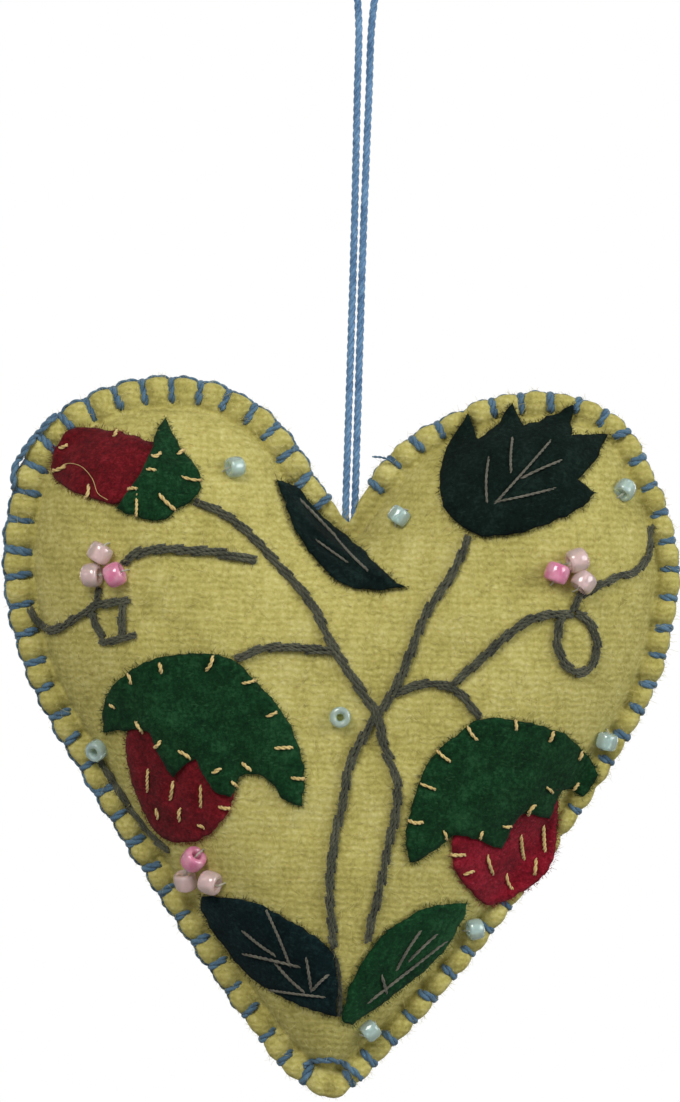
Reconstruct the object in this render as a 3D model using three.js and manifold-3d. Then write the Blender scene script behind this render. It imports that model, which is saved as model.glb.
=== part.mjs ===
// A hanging felt heart: two panels of felt, filled and sewn together round the edge with blanket
// stitch. Felt strawberries with leafy caps, four leaves, stems in stem stitch and small glass
// beads lie on the front, and a twisted cord comes out of the cleft as a hanging loop.
// Millimetres, +Z up, the decorated front towards -Y, the origin where the loop's top is hung up.

import * as THREE from 'three';
import { mergeVertices } from 'three/addons/utils/BufferGeometryUtils.js';
import Module from 'manifold-3d';

const wasm = await Module();
wasm.setup();

// Driving dimensions
const HEART_WIDTH = 90; // across both lobes, with the edge yarn
const HEART_DEPTH = 24; // front to back at the fullest place
const RIM_WIDTH = 3.4; // flat seam inside the edge
const FELT_THICKNESS = 1.4; // each panel of the heart at the seam
const APPLIQUE_THICKNESS = 1.1; // berries, caps and leaves
const FOLD_HEIGHT = 2.6; // crease that stands up along the folded leaf
const GAP = 0.3; // clearance between pieces that touch
const YARN_DIAMETER = 0.8; // blanket stitch
const STITCH_PITCH = 3.95; // from one blanket stitch to the next
const STITCH_BITE = 3.3; // how far a stitch reaches in from the edge
const STEM_DIAMETER = 1.25; // embroidered stems
const CORD_DIAMETER = 1.05; // hanging cord
const LOOP_RISE = 79.5; // from the cleft up to the place where the loop hangs
const LOOP_WIDTH = 4.6; // across the top of the loop, between the middles of its two strands
const STRAND_SPREAD = 0.2; // how much further apart the strands are above the heart than at its cleft
const BEAD_DIAMETER = 2.9;
const BEAD_LENGTH = 2.1;
const BEAD_HOLE = 0.9;

// The heart and its ornament are drawn 90 mm wide, from the middle of the heart, right and up
const DRAWN_WIDTH = 90;
const SCALE = HEART_WIDTH / DRAWN_WIDTH;

// Fineness of the facets
const HEART_SIDES = 48;
const OUTLINE_STEP = 2.6;
const STEM_STEP = 3.4;
const STEM_SIDES = 5;
const CORD_STEPS = 52;
const CORD_SIDES = 8;
const BEAD_SIDES = 7;

const COLOURS = {
  felt: 0xada34f,
  berry: 0x78141e,
  brightBerry: 0x96192a,
  cap: 0x194b28,
  darkLeaf: 0x14282a,
  greenLeaf: 0x19552d,
  stem: 0x4e4a3c,
  yarn: 0x46697d,
  cord: 0x4b7396,
  aqua: 0x96c8c3,
  pink: 0xe17da0,
  clear: 0xd7bebe,
};

// Each outline is a ring of stretches; a stretch is a smooth curve from one corner to the next
const HEART = [[
  [-0.4, 31.2], [2.4, 35.4], [6.0, 39.9], [11.0, 43.4], [17.2, 46.4], [24.5, 47.8], [31.5, 46.9],
  [37.0, 43.3], [40.6, 36.9], [43.4, 29.5], [44.2, 21.5], [41.0, 7.2], [30.6, -10.8], [17.8, -28.8],
  [6.0, -42.8], [2.3, -46.4], [-0.3, -47.8], [-3.4, -46.2], [-8.6, -41.8], [-20.4, -26.0],
  [-31.8, -9.6], [-42.0, 7.0], [-45.8, 20.0], [-45.6, 30.0], [-43.8, 36.8], [-40.3, 42.2],
  [-34.2, 45.9], [-27.5, 48.0], [-20.0, 47.8], [-13.4, 45.4], [-8.0, 40.6], [-4.6, 35.2],
  [-0.4, 31.2],
]];

const BERRIES = {
  upper_left: [[
    [-27.5, 33.0], [-31.0, 31.0], [-36.3, 32.3], [-39.6, 34.4], [-39.8, 37.6], [-37.2, 41.0],
    [-30.0, 40.4], [-25.5, 38.6], [-24.8, 35.6], [-27.5, 33.0],
  ]],
  middle_left: [[
    [-28.6, 1.0], [-28.9, -1.5], [-27.3, -7.9], [-24.2, -12.8], [-20.6, -13.7], [-17.0, -12.1],
    [-14.5, -8.2], [-14.6, -3.4], [-17.4, 0.6], [-22.4, 2.6], [-26.4, 2.6], [-28.6, 1.0],
  ]],
  right: [[
    [14.9, -11.6], [15.3, -16.0], [18.8, -20.2], [21.0, -20.8], [25.6, -18.3], [28.3, -15.4],
    [28.9, -10.4], [28.6, -5.9], [25.4, -3.6], [19.6, -4.6], [16.2, -7.8], [14.9, -11.6],
  ]],
};

const CAPS = {
  upper_left: [
    [
      [-25.0, 42.7], [-22.7, 38.6], [-20.2, 35.7], [-20.2, 32.6], [-22.9, 30.5], [-25.8, 28.9],
      [-31.2, 30.4],
    ],
    [[-31.2, 30.4], [-28.7, 34.0], [-27.0, 37.4], [-26.2, 40.4], [-25.0, 42.7]],
  ],
  middle_left: [
    [
      [-32.0, 0.6], [-31.9, 4.8], [-29.4, 8.2], [-25.7, 10.5], [-20.5, 11.5], [-15.4, 11.0],
      [-11.3, 7.6], [-7.3, 2.8], [-5.1, -3.3], [-5.1, -8.3],
    ],
    [[-5.1, -8.3], [-7.8, -7.3], [-9.8, -4.8], [-13.0, -4.3], [-14.6, -7.4]],
    [[-14.6, -7.4], [-17.0, -6.4], [-19.5, -2.5]],
    [[-19.5, -2.5], [-21.0, -3.4], [-22.3, -5.1]],
    [[-22.3, -5.1], [-24.3, -2.4], [-26.2, 0.9], [-32.0, 0.6]],
  ],
  right: [
    [
      [9.2, -15.4], [8.7, -11.0], [11.0, -2.6], [14.3, 1.2], [18.2, 4.0], [23.3, 3.9],
      [29.1, 2.4], [32.3, -0.2], [34.3, -3.1],
    ],
    [[34.3, -3.1], [33.4, -4.9], [32.2, -6.0]],
    [[32.2, -6.0], [29.5, -5.3], [27.9, -9.2]],
    [[27.9, -9.2], [24.2, -8.5], [22.7, -10.8], [21.6, -13.4]],
    [[21.6, -13.4], [18.3, -12.1], [15.2, -11.6], [11.6, -14.4], [9.2, -15.4]],
  ],
};

const LEAVES = {
  serrated: [
    [[11.7, 34.6], [12.4, 39.4], [15.3, 44.6]],
    [[15.3, 44.6], [16.8, 41.2]],
    [[16.8, 41.2], [19.4, 43.5], [21.2, 46.3]],
    [[21.2, 46.3], [22.7, 43.1]],
    [[22.7, 43.1], [26.0, 44.4], [29.3, 46.2]],
    [[29.3, 46.2], [29.1, 42.0]],
    [[29.1, 42.0], [31.6, 42.4], [34.0, 42.3]],
    [[34.0, 42.3], [32.5, 39.0], [30.2, 36.2]],
    [[30.2, 36.2], [32.5, 34.5]],
    [
      [32.5, 34.5], [30.6, 32.5], [25.9, 30.0], [21.1, 28.5], [16.4, 28.6], [12.9, 31.3],
      [11.7, 34.6],
    ],
  ],
  folded: [
    [[-9.9, 35.0], [-7.1, 34.0], [-4.2, 30.7], [0.0, 27.5], [5.2, 22.8], [7.6, 21.2]],
    [[7.6, 21.2], [2.1, 20.6], [-2.0, 22.2], [-6.7, 27.5], [-8.7, 31.8], [-9.9, 35.0]],
  ],
  lower_left: [
    [[-18.3, -20.8], [-12.2, -21.1], [-7.8, -22.8], [-1.5, -26.5], [0.1, -30.4], [0.3, -36.3]],
    [[0.3, -36.3], [-5.6, -34.6], [-11.4, -31.5], [-15.8, -26.6], [-18.1, -23.1], [-18.3, -20.8]],
  ],
  lower_right: [
    [[17.5, -20.5], [11.4, -21.5], [6.0, -25.2], [2.6, -30.4], [1.0, -36.4], [2.4, -37.3]],
    [[2.4, -37.3], [7.5, -33.5], [13.5, -28.3], [16.3, -23.7], [17.5, -20.5]],
  ],
};

// Lines of stitching that join one another are one vine; the others are stems by themselves
const VINE = [
  [
    [-20.5, 31.9], [-15.3, 29.2], [-9.7, 24.1], [-4.9, 18.7], [-1.6, 12.8], [2.1, 7.2], [4.4, 4.2],
    [5.4, 0.1], [7.5, -5.8], [6.5, -12.8], [5.3, -20.0], [4.0, -26.2],
  ],
  [
    [16.0, 28.2], [14.3, 23.9], [10.8, 18.5], [8.6, 12.7], [6.2, 7.1], [3.4, 2.7], [1.0, -2.6],
    [0.0, -9.1], [-1.1, -16.6], [-0.7, -24.0], [-0.6, -27.1],
  ],
  [[-1.3, 12.2], [-5.2, 12.6], [-9.8, 12.7], [-14.7, 11.1]],
  [[6.2, 7.1], [11.2, 8.5], [15.3, 7.4], [17.9, 4.0]],
  [[13.6, 8.1], [18.0, 12.0], [22.7, 16.4], [26.2, 18.0], [29.9, 18.1]],
  [
    [29.3, 18.1], [27.7, 15.8], [28.0, 12.6], [30.5, 10.5], [33.0, 12.2], [33.1, 15.8],
    [30.6, 18.2], [30.5, 19.8],
  ],
];

const STEMS = {
  upper_left: [[-12.2, 23.9], [-17.6, 25.0], [-24.3, 25.2], [-29.0, 24.1]],
  left_curl: [
    [-33.1, 18.8], [-33.5, 17.3], [-30.5, 18.0], [-29.1, 17.2], [-29.4, 13.6], [-32.2, 12.9],
    [-33.3, 14.6], [-36.1, 15.4], [-39.2, 14.3], [-42.1, 16.4],
  ],
  right_tail: [[34.4, 23.2], [38.0, 24.0], [39.7, 26.8], [41.0, 31.0]],
  lower_left: [[-31.7, -4.3], [-28.9, -8.5], [-25.3, -12.9], [-22.6, -15.2]],
};

// Beads: their colours in turn, where each lies, and which way its hole points, in degrees or outwards
const OUTWARDS = null;
const BEADS = {
  bead_aqua: {
    colours: [COLOURS.aqua],
    places: [
      [-15.5, 36.4, 20], [6.5, 30.6, 60], [36.5, 35.0, 40], [-0.5, 3.7, OUTWARDS],
      [-32.8, -1.9, OUTWARDS], [35.2, 1.4, 80], [18.4, -24.2, 10], [4.8, -38.1, 35],
    ],
  },
  bead_left: {
    colours: [COLOURS.pink, COLOURS.clear],
    places: [[-30.5, 21.4, 25], [-33.1, 24.9, 60], [-34.3, 21.2, 5]],
  },
  bead_right: {
    colours: [COLOURS.pink, COLOURS.clear],
    places: [[27.1, 23.6, 70], [30.4, 25.8, 20], [31.6, 22.3, 50]],
  },
  bead_low: {
    colours: [COLOURS.pink, COLOURS.clear],
    places: [[-19.5, -15.4, 45], [-20.7, -19.1, 80], [-16.6, -19.2, 0]],
  },
};

// Plan geometry

const scaled = ([u, v]) => new THREE.Vector2(u * SCALE, v * SCALE);

function outline(stretches, step = OUTLINE_STEP) {
  return stretches.flatMap((stretch) => {
    const curve = new THREE.SplineCurve(stretch.map(scaled));
    return curve.getSpacedPoints(Math.max(1, Math.round(curve.getLength() / step))).slice(0, -1);
  });
}

// Moves a closed outline outwards by a distance, or inwards where it is negative
function offset(points, distance) {
  const turn = Math.sign(THREE.ShapeUtils.area(points));
  const longestMitre = 2;
  return points.map((point, i) => {
    const before = points.at(i - 1).clone().sub(point).normalize();
    const after = points[(i + 1) % points.length].clone().sub(point).normalize();
    const normalBefore = new THREE.Vector2(-before.y, before.x).multiplyScalar(turn);
    const normalAfter = new THREE.Vector2(after.y, -after.x).multiplyScalar(turn);
    const middle = normalBefore.add(normalAfter).normalize();
    const mitre = Math.min(longestMitre, 1 / Math.max(0.01, middle.dot(normalAfter)));
    return point.clone().addScaledVector(middle, distance * mitre);
  });
}

const EDGE_YARN = GAP + YARN_DIAMETER;
const silhouette = outline(HEART, 1);
const feltEdge = offset(silhouette, -EDGE_YARN);
const cleft = feltEdge[0];
const middle = scaled([-0.8, 7]);
const HANG = cleft.y + EDGE_YARN + LOOP_RISE;

// Distance from a place in the heart to its edge, smoothed so that it has no creases inside
function depthInside(place) {
  const sum = feltEdge.reduce((total, point, i) => {
    const length = point.distanceTo(feltEdge[(i + 1) % feltEdge.length]);
    return total + length / Math.max(place.distanceToSquared(point), 0.25) ** 2;
  }, 0);
  return (sum / (Math.PI / 2)) ** (-1 / 3);
}

// Height of the felt above the seam: flat at the rim, steep beside it and full in the middle
const SEAM = GAP / 2 + FELT_THICKNESS;
const FULLEST = depthInside(middle);

function height(place) {
  const share = THREE.MathUtils.clamp((depthInside(place) - RIM_WIDTH) / (FULLEST - RIM_WIDTH), 0, 1);
  return SEAM + (HEART_DEPTH / 2 - SEAM) * (1 - (1 - share) ** 2.2) ** 0.8;
}

const onFront = (place, rise) => new THREE.Vector3(place.x, -rise, place.y - HANG);
const onBack = (place, rise) => new THREE.Vector3(place.x, rise, place.y - HANG);

// The middle of a ball that lies in front of a place, clear of the felt all round it
function ballOnFront(place, radius) {
  const spots = [0.4, 0.8].flatMap((share) => Array.from({ length: 8 }, (_, i) => {
    const angle = (i * Math.PI) / 4;
    const away = new THREE.Vector2(Math.cos(angle), Math.sin(angle)).multiplyScalar(share * radius);
    return onFront(away.add(place), height(away));
  }));
  const step = 0.05;
  let rise = height(place) + radius + GAP;
  while (spots.some((spot) => onFront(place, rise).distanceTo(spot) < radius + GAP)) rise += step;
  return onFront(place, rise);
}

function outwardsFrom(place) {
  const reach = 0.5;
  const across = new THREE.Vector2(reach, 0);
  const up = new THREE.Vector2(0, reach);
  const slopeX = (height(place.clone().add(across)) - height(place.clone().sub(across))) / (2 * reach);
  const slopeZ = (height(place.clone().add(up)) - height(place.clone().sub(up))) / (2 * reach);
  return new THREE.Vector3(-slopeX, -1, -slopeZ).normalize();
}

// Solids

function solidGeometry(points, triangles) {
  const volume = triangles.reduce((sum, [a, b, c]) =>
    sum + points[a].dot(new THREE.Vector3().crossVectors(points[b], points[c])), 0);
  const index = triangles.flatMap(([a, b, c]) => (volume > 0 ? [a, b, c] : [a, c, b]));
  return new THREE.BufferGeometry().setFromPoints(points).setIndex(index);
}

// A closed skin from one pole through rings of equally many points to the other pole. Past the
// widest ring its quads are split the other way, so that an under side matches the top below it.
function closedSkin(startPole, rings, endPole, widest = rings.length) {
  const count = rings[0].length;
  const end = rings.length * count;
  const triangles = [];
  for (let i = 0; i < count; i += 1) {
    const next = (i + 1) % count;
    triangles.push([end, i, next], [end + 1, end - count + next, end - count + i]);
    for (let ring = 0; ring < rings.length - 1; ring += 1) {
      const [a, b] = [ring * count + i, ring * count + next];
      const [c, d] = [a + count, b + count];
      triangles.push(...(ring < widest ? [[a, c, d], [a, d, b]] : [[a, c, b], [b, c, d]]));
    }
  }
  return solidGeometry([...rings.flat(), startPole, endPole], triangles);
}

function toSolid(geometry) {
  const bare = geometry.clone();
  bare.deleteAttribute('normal');
  bare.deleteAttribute('uv');
  const merged = mergeVertices(bare);
  return new wasm.Manifold(new wasm.Mesh({
    numProp: 3,
    vertProperties: new Float32Array(merged.attributes.position.array),
    triVerts: new Uint32Array(merged.index.array),
  }));
}

function toGeometry(solid) {
  const mesh = solid.getMesh();
  const geometry = new THREE.BufferGeometry();
  geometry.setAttribute('position', new THREE.Float32BufferAttribute(mesh.vertProperties, 3));
  return geometry.setIndex([...mesh.triVerts]);
}

const joined = (solids) => solids.reduce((sum, solid) => sum.add(solid));
const biggest = (solid) => solid.decompose().reduce((best, part) =>
  (part.volume() > best.volume() ? part : best));

// The plan outline as an upright block from the seam plane to well in front of the heart
function block(points, depth = 2 * HEART_DEPTH) {
  const geometry = new THREE.ExtrudeGeometry(new THREE.Shape(points), { depth, bevelEnabled: false });
  geometry.rotateX(Math.PI / 2).translate(0, 0, -HANG);
  return toSolid(geometry);
}

function tube(points, diameter, sides, steps) {
  const section = new THREE.Shape(Array.from({ length: sides }, (_, i) => {
    const angle = (2 * Math.PI * i) / sides;
    return new THREE.Vector2(Math.cos(angle), Math.sin(angle)).multiplyScalar(diameter / 2);
  }));
  const extrudePath = new THREE.CatmullRomCurve3(points);
  return new THREE.ExtrudeGeometry(section, { extrudePath, steps, bevelEnabled: false });
}

// The place on the way from the edge to the middle that is a given depth inside the heart
function towardsMiddle(point, depth) {
  let [near, far] = [0, 1];
  for (let halving = 0; halving < 20; halving += 1) {
    const share = (near + far) / 2;
    if (depthInside(point.clone().lerp(middle, share)) < depth) near = share;
    else far = share;
  }
  return point.clone().lerp(middle, near);
}

// Plan rings that all pieces on the heart share, from the silhouette in to the middle
const rimRing = feltEdge.map((_, i) => i).filter((i) => i % Math.ceil(feltEdge.length / HEART_SIDES) === 0)
  .map((i) => feltEdge[i]);
const overhangRing = offset(rimRing, EDGE_YARN);
const INNER_SHARES = [1, 0.92, 0.81, 0.63, 0.41, 0.19];
const domeRing = rimRing.map((point) => towardsMiddle(point, RIM_WIDTH));
const innerRings = INNER_SHARES.map((share) =>
  domeRing.map((point) => middle.clone().lerp(point, share))).toReversed();
const planRings = [...innerRings, rimRing];

function heartHalf(place) {
  const rings = planRings.map((ring) => ring.map((point) => place(point, height(point))));
  const seam = rimRing.map((point) => place(point, GAP / 2));
  return closedSkin(place(middle, height(middle)), [...rings, seam], place(middle, GAP / 2));
}

// The room between two heights above the front, out to the silhouette
function layer(low, high) {
  const skin = (rise) => [...planRings, overhangRing].map((ring) =>
    ring.map((point) => onFront(point, height(point) + rise)));
  return toSolid(closedSkin(
    onFront(middle, height(middle) + high),
    [...skin(high), ...skin(low).toReversed()],
    onFront(middle, height(middle) + low),
    planRings.length + 1,
  ));
}

// Felt pieces on the front

const FIRST_TOP = GAP + APPLIQUE_THICKNESS;
const SECOND_TOP = 2 * FIRST_TOP;
const firstLayer = layer(GAP, FIRST_TOP);

const feltPiece = (stretches) => block(outline(stretches)).intersect(firstLayer);

// A cap lies on the heart, steps up over the berry's edge and covers its top
function capPiece(capStretches, berryStretches) {
  const berry = outline(berryStretches);
  const overBerry = block(offset(berry, GAP)).intersect(layer(-1, FIRST_TOP + GAP));
  const besideBerry = layer(FIRST_TOP, SECOND_TOP + 1).subtract(block(offset(berry, FIRST_TOP)));
  const cap = block(outline(capStretches)).intersect(layer(GAP, SECOND_TOP));
  return biggest(cap.subtract(overBerry).subtract(besideBerry));
}

function foldedLeaf(stretches) {
  const [upper, lower] = stretches.map((stretch) => new THREE.SplineCurve(stretch.map(scaled)));
  const crease = [0.22, 0.36, 0.5, 0.64, 0.78].map((share) => {
    const place = upper.getPoint(share).lerp(lower.getPoint(1 - share), 0.5);
    return ballOnFront(place, FOLD_HEIGHT / 2);
  });
  return feltPiece(stretches).add(toSolid(tube(crease, FOLD_HEIGHT, STEM_SIDES, crease.length)));
}

// Embroidered stems, cut back to stay clear of the felt pieces

const feltOutlines = [BERRIES, CAPS, LEAVES].flatMap(Object.values).map((item) => outline(item));
const feltRoom = joined(feltOutlines.map((points) => block(offset(points, GAP))));

function stemTube(line, diameter = STEM_DIAMETER) {
  const points = line.map((point) => ballOnFront(scaled(point), STEM_DIAMETER / 2));
  const steps = Math.round(new THREE.CatmullRomCurve3(points).getLength() / STEM_STEP);
  return toSolid(tube(points, diameter, STEM_SIDES, steps));
}

const stemPiece = (lines) => biggest(joined(lines.map((line) => stemTube(line))).subtract(feltRoom));

// Beads

function beadGeometry() {
  const hole = BEAD_HOLE / 2;
  const shoulder = 0.8 * (BEAD_DIAMETER / 2);
  const end = BEAD_LENGTH / 2;
  const widest = BEAD_DIAMETER / 2;
  const profile = [[hole, -end], [shoulder, -end], [widest, 0], [shoulder, end], [hole, end], [hole, -end]];
  return new THREE.LatheGeometry(profile.map(([x, y]) => new THREE.Vector2(x, y)), BEAD_SIDES);
}

function placeBead(mesh, [u, v, turned]) {
  const place = scaled([u, v]);
  const outwards = outwardsFrom(place);
  const angle = THREE.MathUtils.degToRad(turned ?? 0);
  const along = new THREE.Vector3(Math.cos(angle), 0, Math.sin(angle)).projectOnPlane(outwards).normalize();
  mesh.position.copy(ballOnFront(place, BEAD_DIAMETER / 2));
  mesh.quaternion.setFromUnitVectors(new THREE.Vector3(0, 1, 0), turned === OUTWARDS ? outwards : along);
}

// Hanging cord: up from the cleft on the left, over the top, and down into the cleft on the right

const STRAND = (CORD_DIAMETER + GAP) / 2;
const FELT_CLEARANCE = 1.3 * GAP;
const cordSide = STRAND + CORD_DIAMETER / 2;

// The lowest place in the cleft where both strands still stand clear of the felt
function cordFoot() {
  const step = 0.05;
  const clear = (level) => [-cordSide, cordSide].every((side) => {
    const corner = new THREE.Vector2(side, level);
    return feltEdge.every((point) => point.distanceTo(corner) > FELT_CLEARANCE);
  });
  let level = cleft.y + 4 * cordSide;
  while (clear(level - step)) level -= step;
  return level;
}

function cordGeometry() {
  const top = CORD_DIAMETER / 2;
  const loop = LOOP_WIDTH / 2;
  const foot = cordFoot() - HANG;
  const spread = STRAND + STRAND_SPREAD / 2;
  const rising = [
    [STRAND, foot], [STRAND, 0.85 * foot], [STRAND, 0.55 * foot], [spread, 0.3 * foot],
    [spread + 0.1, -6 * loop], [0.75 * loop, -2.6 * loop], [loop, -loop], [0.72 * loop, top - 0.3 * loop],
  ];
  const falling = rising.toReversed();
  const points = [
    ...rising.map(([x, z]) => new THREE.Vector3(-x, 0, z)),
    new THREE.Vector3(0, 0, top),
    ...falling.map(([x, z]) => new THREE.Vector3(x, 0, z)),
  ];
  return tube(points, CORD_DIAMETER, CORD_SIDES, CORD_STEPS);
}

// Blanket stitch: a yarn along the edge, open where the cord passes, and stitches over it

function edgeLine() {
  const line = offset(feltEdge, GAP + YARN_DIAMETER / 2);
  const besideCord = cordSide + GAP + YARN_DIAMETER;
  const nearCleft = (point) => point.y > 0 && Math.abs(point.x) < besideCord;
  const open = line.filter((point) => !nearCleft(point));
  return new THREE.CatmullRomCurve3(open.map((point) => onFront(point, 0)));
}

// One stitch seen along the edge yarn: in the middle the yarn itself, and an arm to either side
// that goes round the rim and in over the felt. Quads fill it between the yarn and the arms' ends.
const YARN = YARN_DIAMETER / 2;
const ARM_TOP = SEAM + GAP + YARN_DIAMETER;
const ARM_UNDER = SEAM + GAP;
const ARM_END = YARN - STITCH_BITE;
const STITCH_SECTION = [
  [ARM_END, -ARM_TOP], [0, -ARM_TOP], [YARN, -YARN], [YARN, YARN], [0, ARM_TOP], [ARM_END, ARM_TOP],
  [ARM_END, ARM_UNDER], [-YARN, ARM_UNDER], [-YARN, YARN], [-YARN, -YARN], [-YARN, -ARM_UNDER],
  [ARM_END, -ARM_UNDER],
];
const ARM_QUADS = [[0, 1, 10, 11], [1, 2, 9, 10], [3, 4, 7, 8], [4, 5, 6, 7]];
const YARN_QUAD = [2, 3, 8, 9];

function stitchPoints(edge, share) {
  const along = edge.getTangentAt(share);
  const depth = new THREE.Vector3(0, 1, 0);
  const outwards = new THREE.Vector3().crossVectors(along, depth);
  const middles = [-YARN, YARN].map((side) => edge.getPointAt(share).addScaledVector(along, side));
  return middles.flatMap((point) => STITCH_SECTION.map(([x, y]) =>
    point.clone().addScaledVector(outwards, x).addScaledVector(depth, y)));
}

function stitchedEdge() {
  const edge = edgeLine();
  const count = Math.round(edge.getLength() / STITCH_PITCH) + 1;
  const size = STITCH_SECTION.length;
  const quads = [];
  const addWalls = (corners, low, high) => corners.forEach((corner, k) => {
    const next = corners[(k + 1) % corners.length];
    quads.push([low + corner, low + next, high + next, high + corner]);
  });
  const addFace = (corners, start) => quads.push(corners.map((corner) => start + corner));
  for (let i = 0; i < count; i += 1) {
    const [low, high] = [2 * i * size, (2 * i + 1) * size];
    addWalls([...STITCH_SECTION.keys()], low, high);
    ARM_QUADS.forEach((corners) => {
      addFace(corners, high);
      addFace(corners.toReversed(), low);
    });
    if (i + 1 < count) addWalls(YARN_QUAD, high, high + size);
  }
  addFace(YARN_QUAD.toReversed(), 0);
  addFace(YARN_QUAD, (2 * count - 1) * size);
  const points = Array.from({ length: count }, (_, i) => stitchPoints(edge, i / (count - 1))).flat();
  return solidGeometry(points, quads.flatMap(([a, b, c, d]) => [[a, b, c], [a, c, d]]));
}

// The stitching gives way in front to the felt pieces, beads and stems that lie on the rim
function blanketStitch() {
  const beadRoom = Object.values(BEADS).flatMap(({ places }) => places).map(([u, v]) => {
    const radius = BEAD_DIAMETER / 2 + 2 * GAP;
    const ring = new THREE.EllipseCurve(u * SCALE, v * SCALE, radius, radius);
    return block(ring.getPoints(BEAD_SIDES).slice(0, -1));
  });
  const stemRoom = Object.values(STEMS).map((line) => stemTube(line, STEM_DIAMETER + 2.5 * GAP));
  const inFront = joined([feltRoom, ...beadRoom]).translate([0, -SEAM, 0]);
  return biggest(toSolid(stitchedEdge()).subtract(joined([inFront, ...stemRoom])));
}

// The object

const group = new THREE.Group();

function addPiece(name, geometry, color, roughness = 0.95) {
  const mesh = new THREE.Mesh(geometry, new THREE.MeshStandardMaterial({ color, roughness, metalness: 0 }));
  mesh.name = name;
  group.add(mesh);
  return mesh;
}

addPiece('heart_front', heartHalf(onFront), COLOURS.felt);
addPiece('heart_back', heartHalf(onBack), COLOURS.felt);
addPiece('blanket_stitch', toGeometry(blanketStitch()), COLOURS.yarn);
addPiece('hanging_cord', cordGeometry(), COLOURS.cord);

for (const [side, stretches] of Object.entries(BERRIES)) {
  const color = side === 'right' ? COLOURS.brightBerry : COLOURS.berry;
  addPiece(`strawberry_${side}`, toGeometry(feltPiece(stretches)), color);
  addPiece(`cap_${side}`, toGeometry(capPiece(CAPS[side], stretches)), COLOURS.cap);
}

for (const [name, stretches] of Object.entries(LEAVES)) {
  const piece = name === 'folded' ? foldedLeaf(stretches) : feltPiece(stretches);
  const color = name === 'lower_right' ? COLOURS.greenLeaf : COLOURS.darkLeaf;
  addPiece(`leaf_${name}`, toGeometry(piece), color);
}

addPiece('vine', toGeometry(stemPiece(VINE)), COLOURS.stem);
for (const [name, line] of Object.entries(STEMS)) {
  addPiece(`stem_${name}`, toGeometry(stemPiece([line])), COLOURS.stem);
}

const GLASS_ROUGHNESS = 0.12;
for (const [name, { colours, places }] of Object.entries(BEADS)) {
  places.forEach((place, i) => {
    const colour = colours[Math.min(i, colours.length - 1)];
    placeBead(addPiece(`${name}_${i + 1}`, beadGeometry(), colour, GLASS_ROUGHNESS), place);
  });
}

export default group;
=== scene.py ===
"""A hanging felt heart with felt strawberries and leaves, embroidered stems and glass beads."""

import math
from functools import partial

import bmesh
import bpy
import numpy as np
from mathutils import Matrix, Vector
from mathutils.geometry import delaunay_2d_cdt


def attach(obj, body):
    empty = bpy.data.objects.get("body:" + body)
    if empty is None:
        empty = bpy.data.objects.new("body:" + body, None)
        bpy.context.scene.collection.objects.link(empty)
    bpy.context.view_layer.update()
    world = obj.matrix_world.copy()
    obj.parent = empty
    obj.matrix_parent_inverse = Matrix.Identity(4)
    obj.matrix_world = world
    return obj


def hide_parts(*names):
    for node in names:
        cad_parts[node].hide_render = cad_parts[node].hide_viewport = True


MM = 0.001
TINY = 1e-12

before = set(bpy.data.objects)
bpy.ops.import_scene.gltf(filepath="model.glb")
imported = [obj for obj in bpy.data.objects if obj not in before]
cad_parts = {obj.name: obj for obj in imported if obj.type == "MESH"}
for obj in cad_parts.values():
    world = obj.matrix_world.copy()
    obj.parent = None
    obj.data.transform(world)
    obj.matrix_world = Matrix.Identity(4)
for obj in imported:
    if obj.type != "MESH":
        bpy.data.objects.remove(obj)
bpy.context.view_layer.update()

# Sizes in millimetres, drawn from the middle of the heart: u to the right, v up
HALF_DEPTH = 12.0
FELT_THICKNESS = 1.4
APPLIQUE_THICKNESS = 1.0
GAP = 0.3
YARN_DIAMETER = 0.8
EDGE_YARN = GAP + YARN_DIAMETER
STITCH_PITCH = 3.95
PURL_STEPS = 12
STEM_DIAMETER = 1.25
STEM_STEP = 0.35
STEM_SINK = 0.3
TACK_DIAMETER = 0.5
TACK_REACH = 0.9
TACK_SINK = 0.34
STITCH_SINK = 0.5
VEIN_DIAMETER = 0.4
FELT_STEP = 0.42
CORD_DIAMETER = 1.05
LOOP_RISE = 79.5
LOOP_WIDTH = 4.6
STRAND_SPREAD = 0.2
BEAD_DIAMETER = 2.9
BEAD_LENGTH = 2.1
BEAD_HOLE = 0.9
CLUSTER_SCALE = 1.14
CLUSTER_PULL = 0.8
SEAM = GAP / 2 + FELT_THICKNESS
CLEFT_FOOT = (-0.17, 29.53)

HEART = [
    (-0.4, 31.2), (2.4, 35.4), (6.0, 39.9), (11.0, 43.4), (17.2, 46.4), (24.5, 47.8), (31.5, 46.9),
    (37.0, 43.3), (40.6, 36.9), (43.4, 29.5), (44.2, 21.5), (41.0, 7.2), (30.6, -10.8), (17.8, -28.8),
    (6.0, -42.8), (2.3, -46.4), (-0.3, -47.8), (-3.4, -46.2), (-8.6, -41.8), (-20.4, -26.0),
    (-31.8, -9.6), (-42.0, 7.0), (-45.8, 20.0), (-45.6, 30.0), (-43.8, 36.8), (-40.3, 42.2),
    (-34.2, 45.9), (-27.5, 48.0), (-20.0, 47.8), (-13.4, 45.4), (-8.0, 40.6), (-4.6, 35.2),
    (-0.4, 31.2),
]

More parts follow.
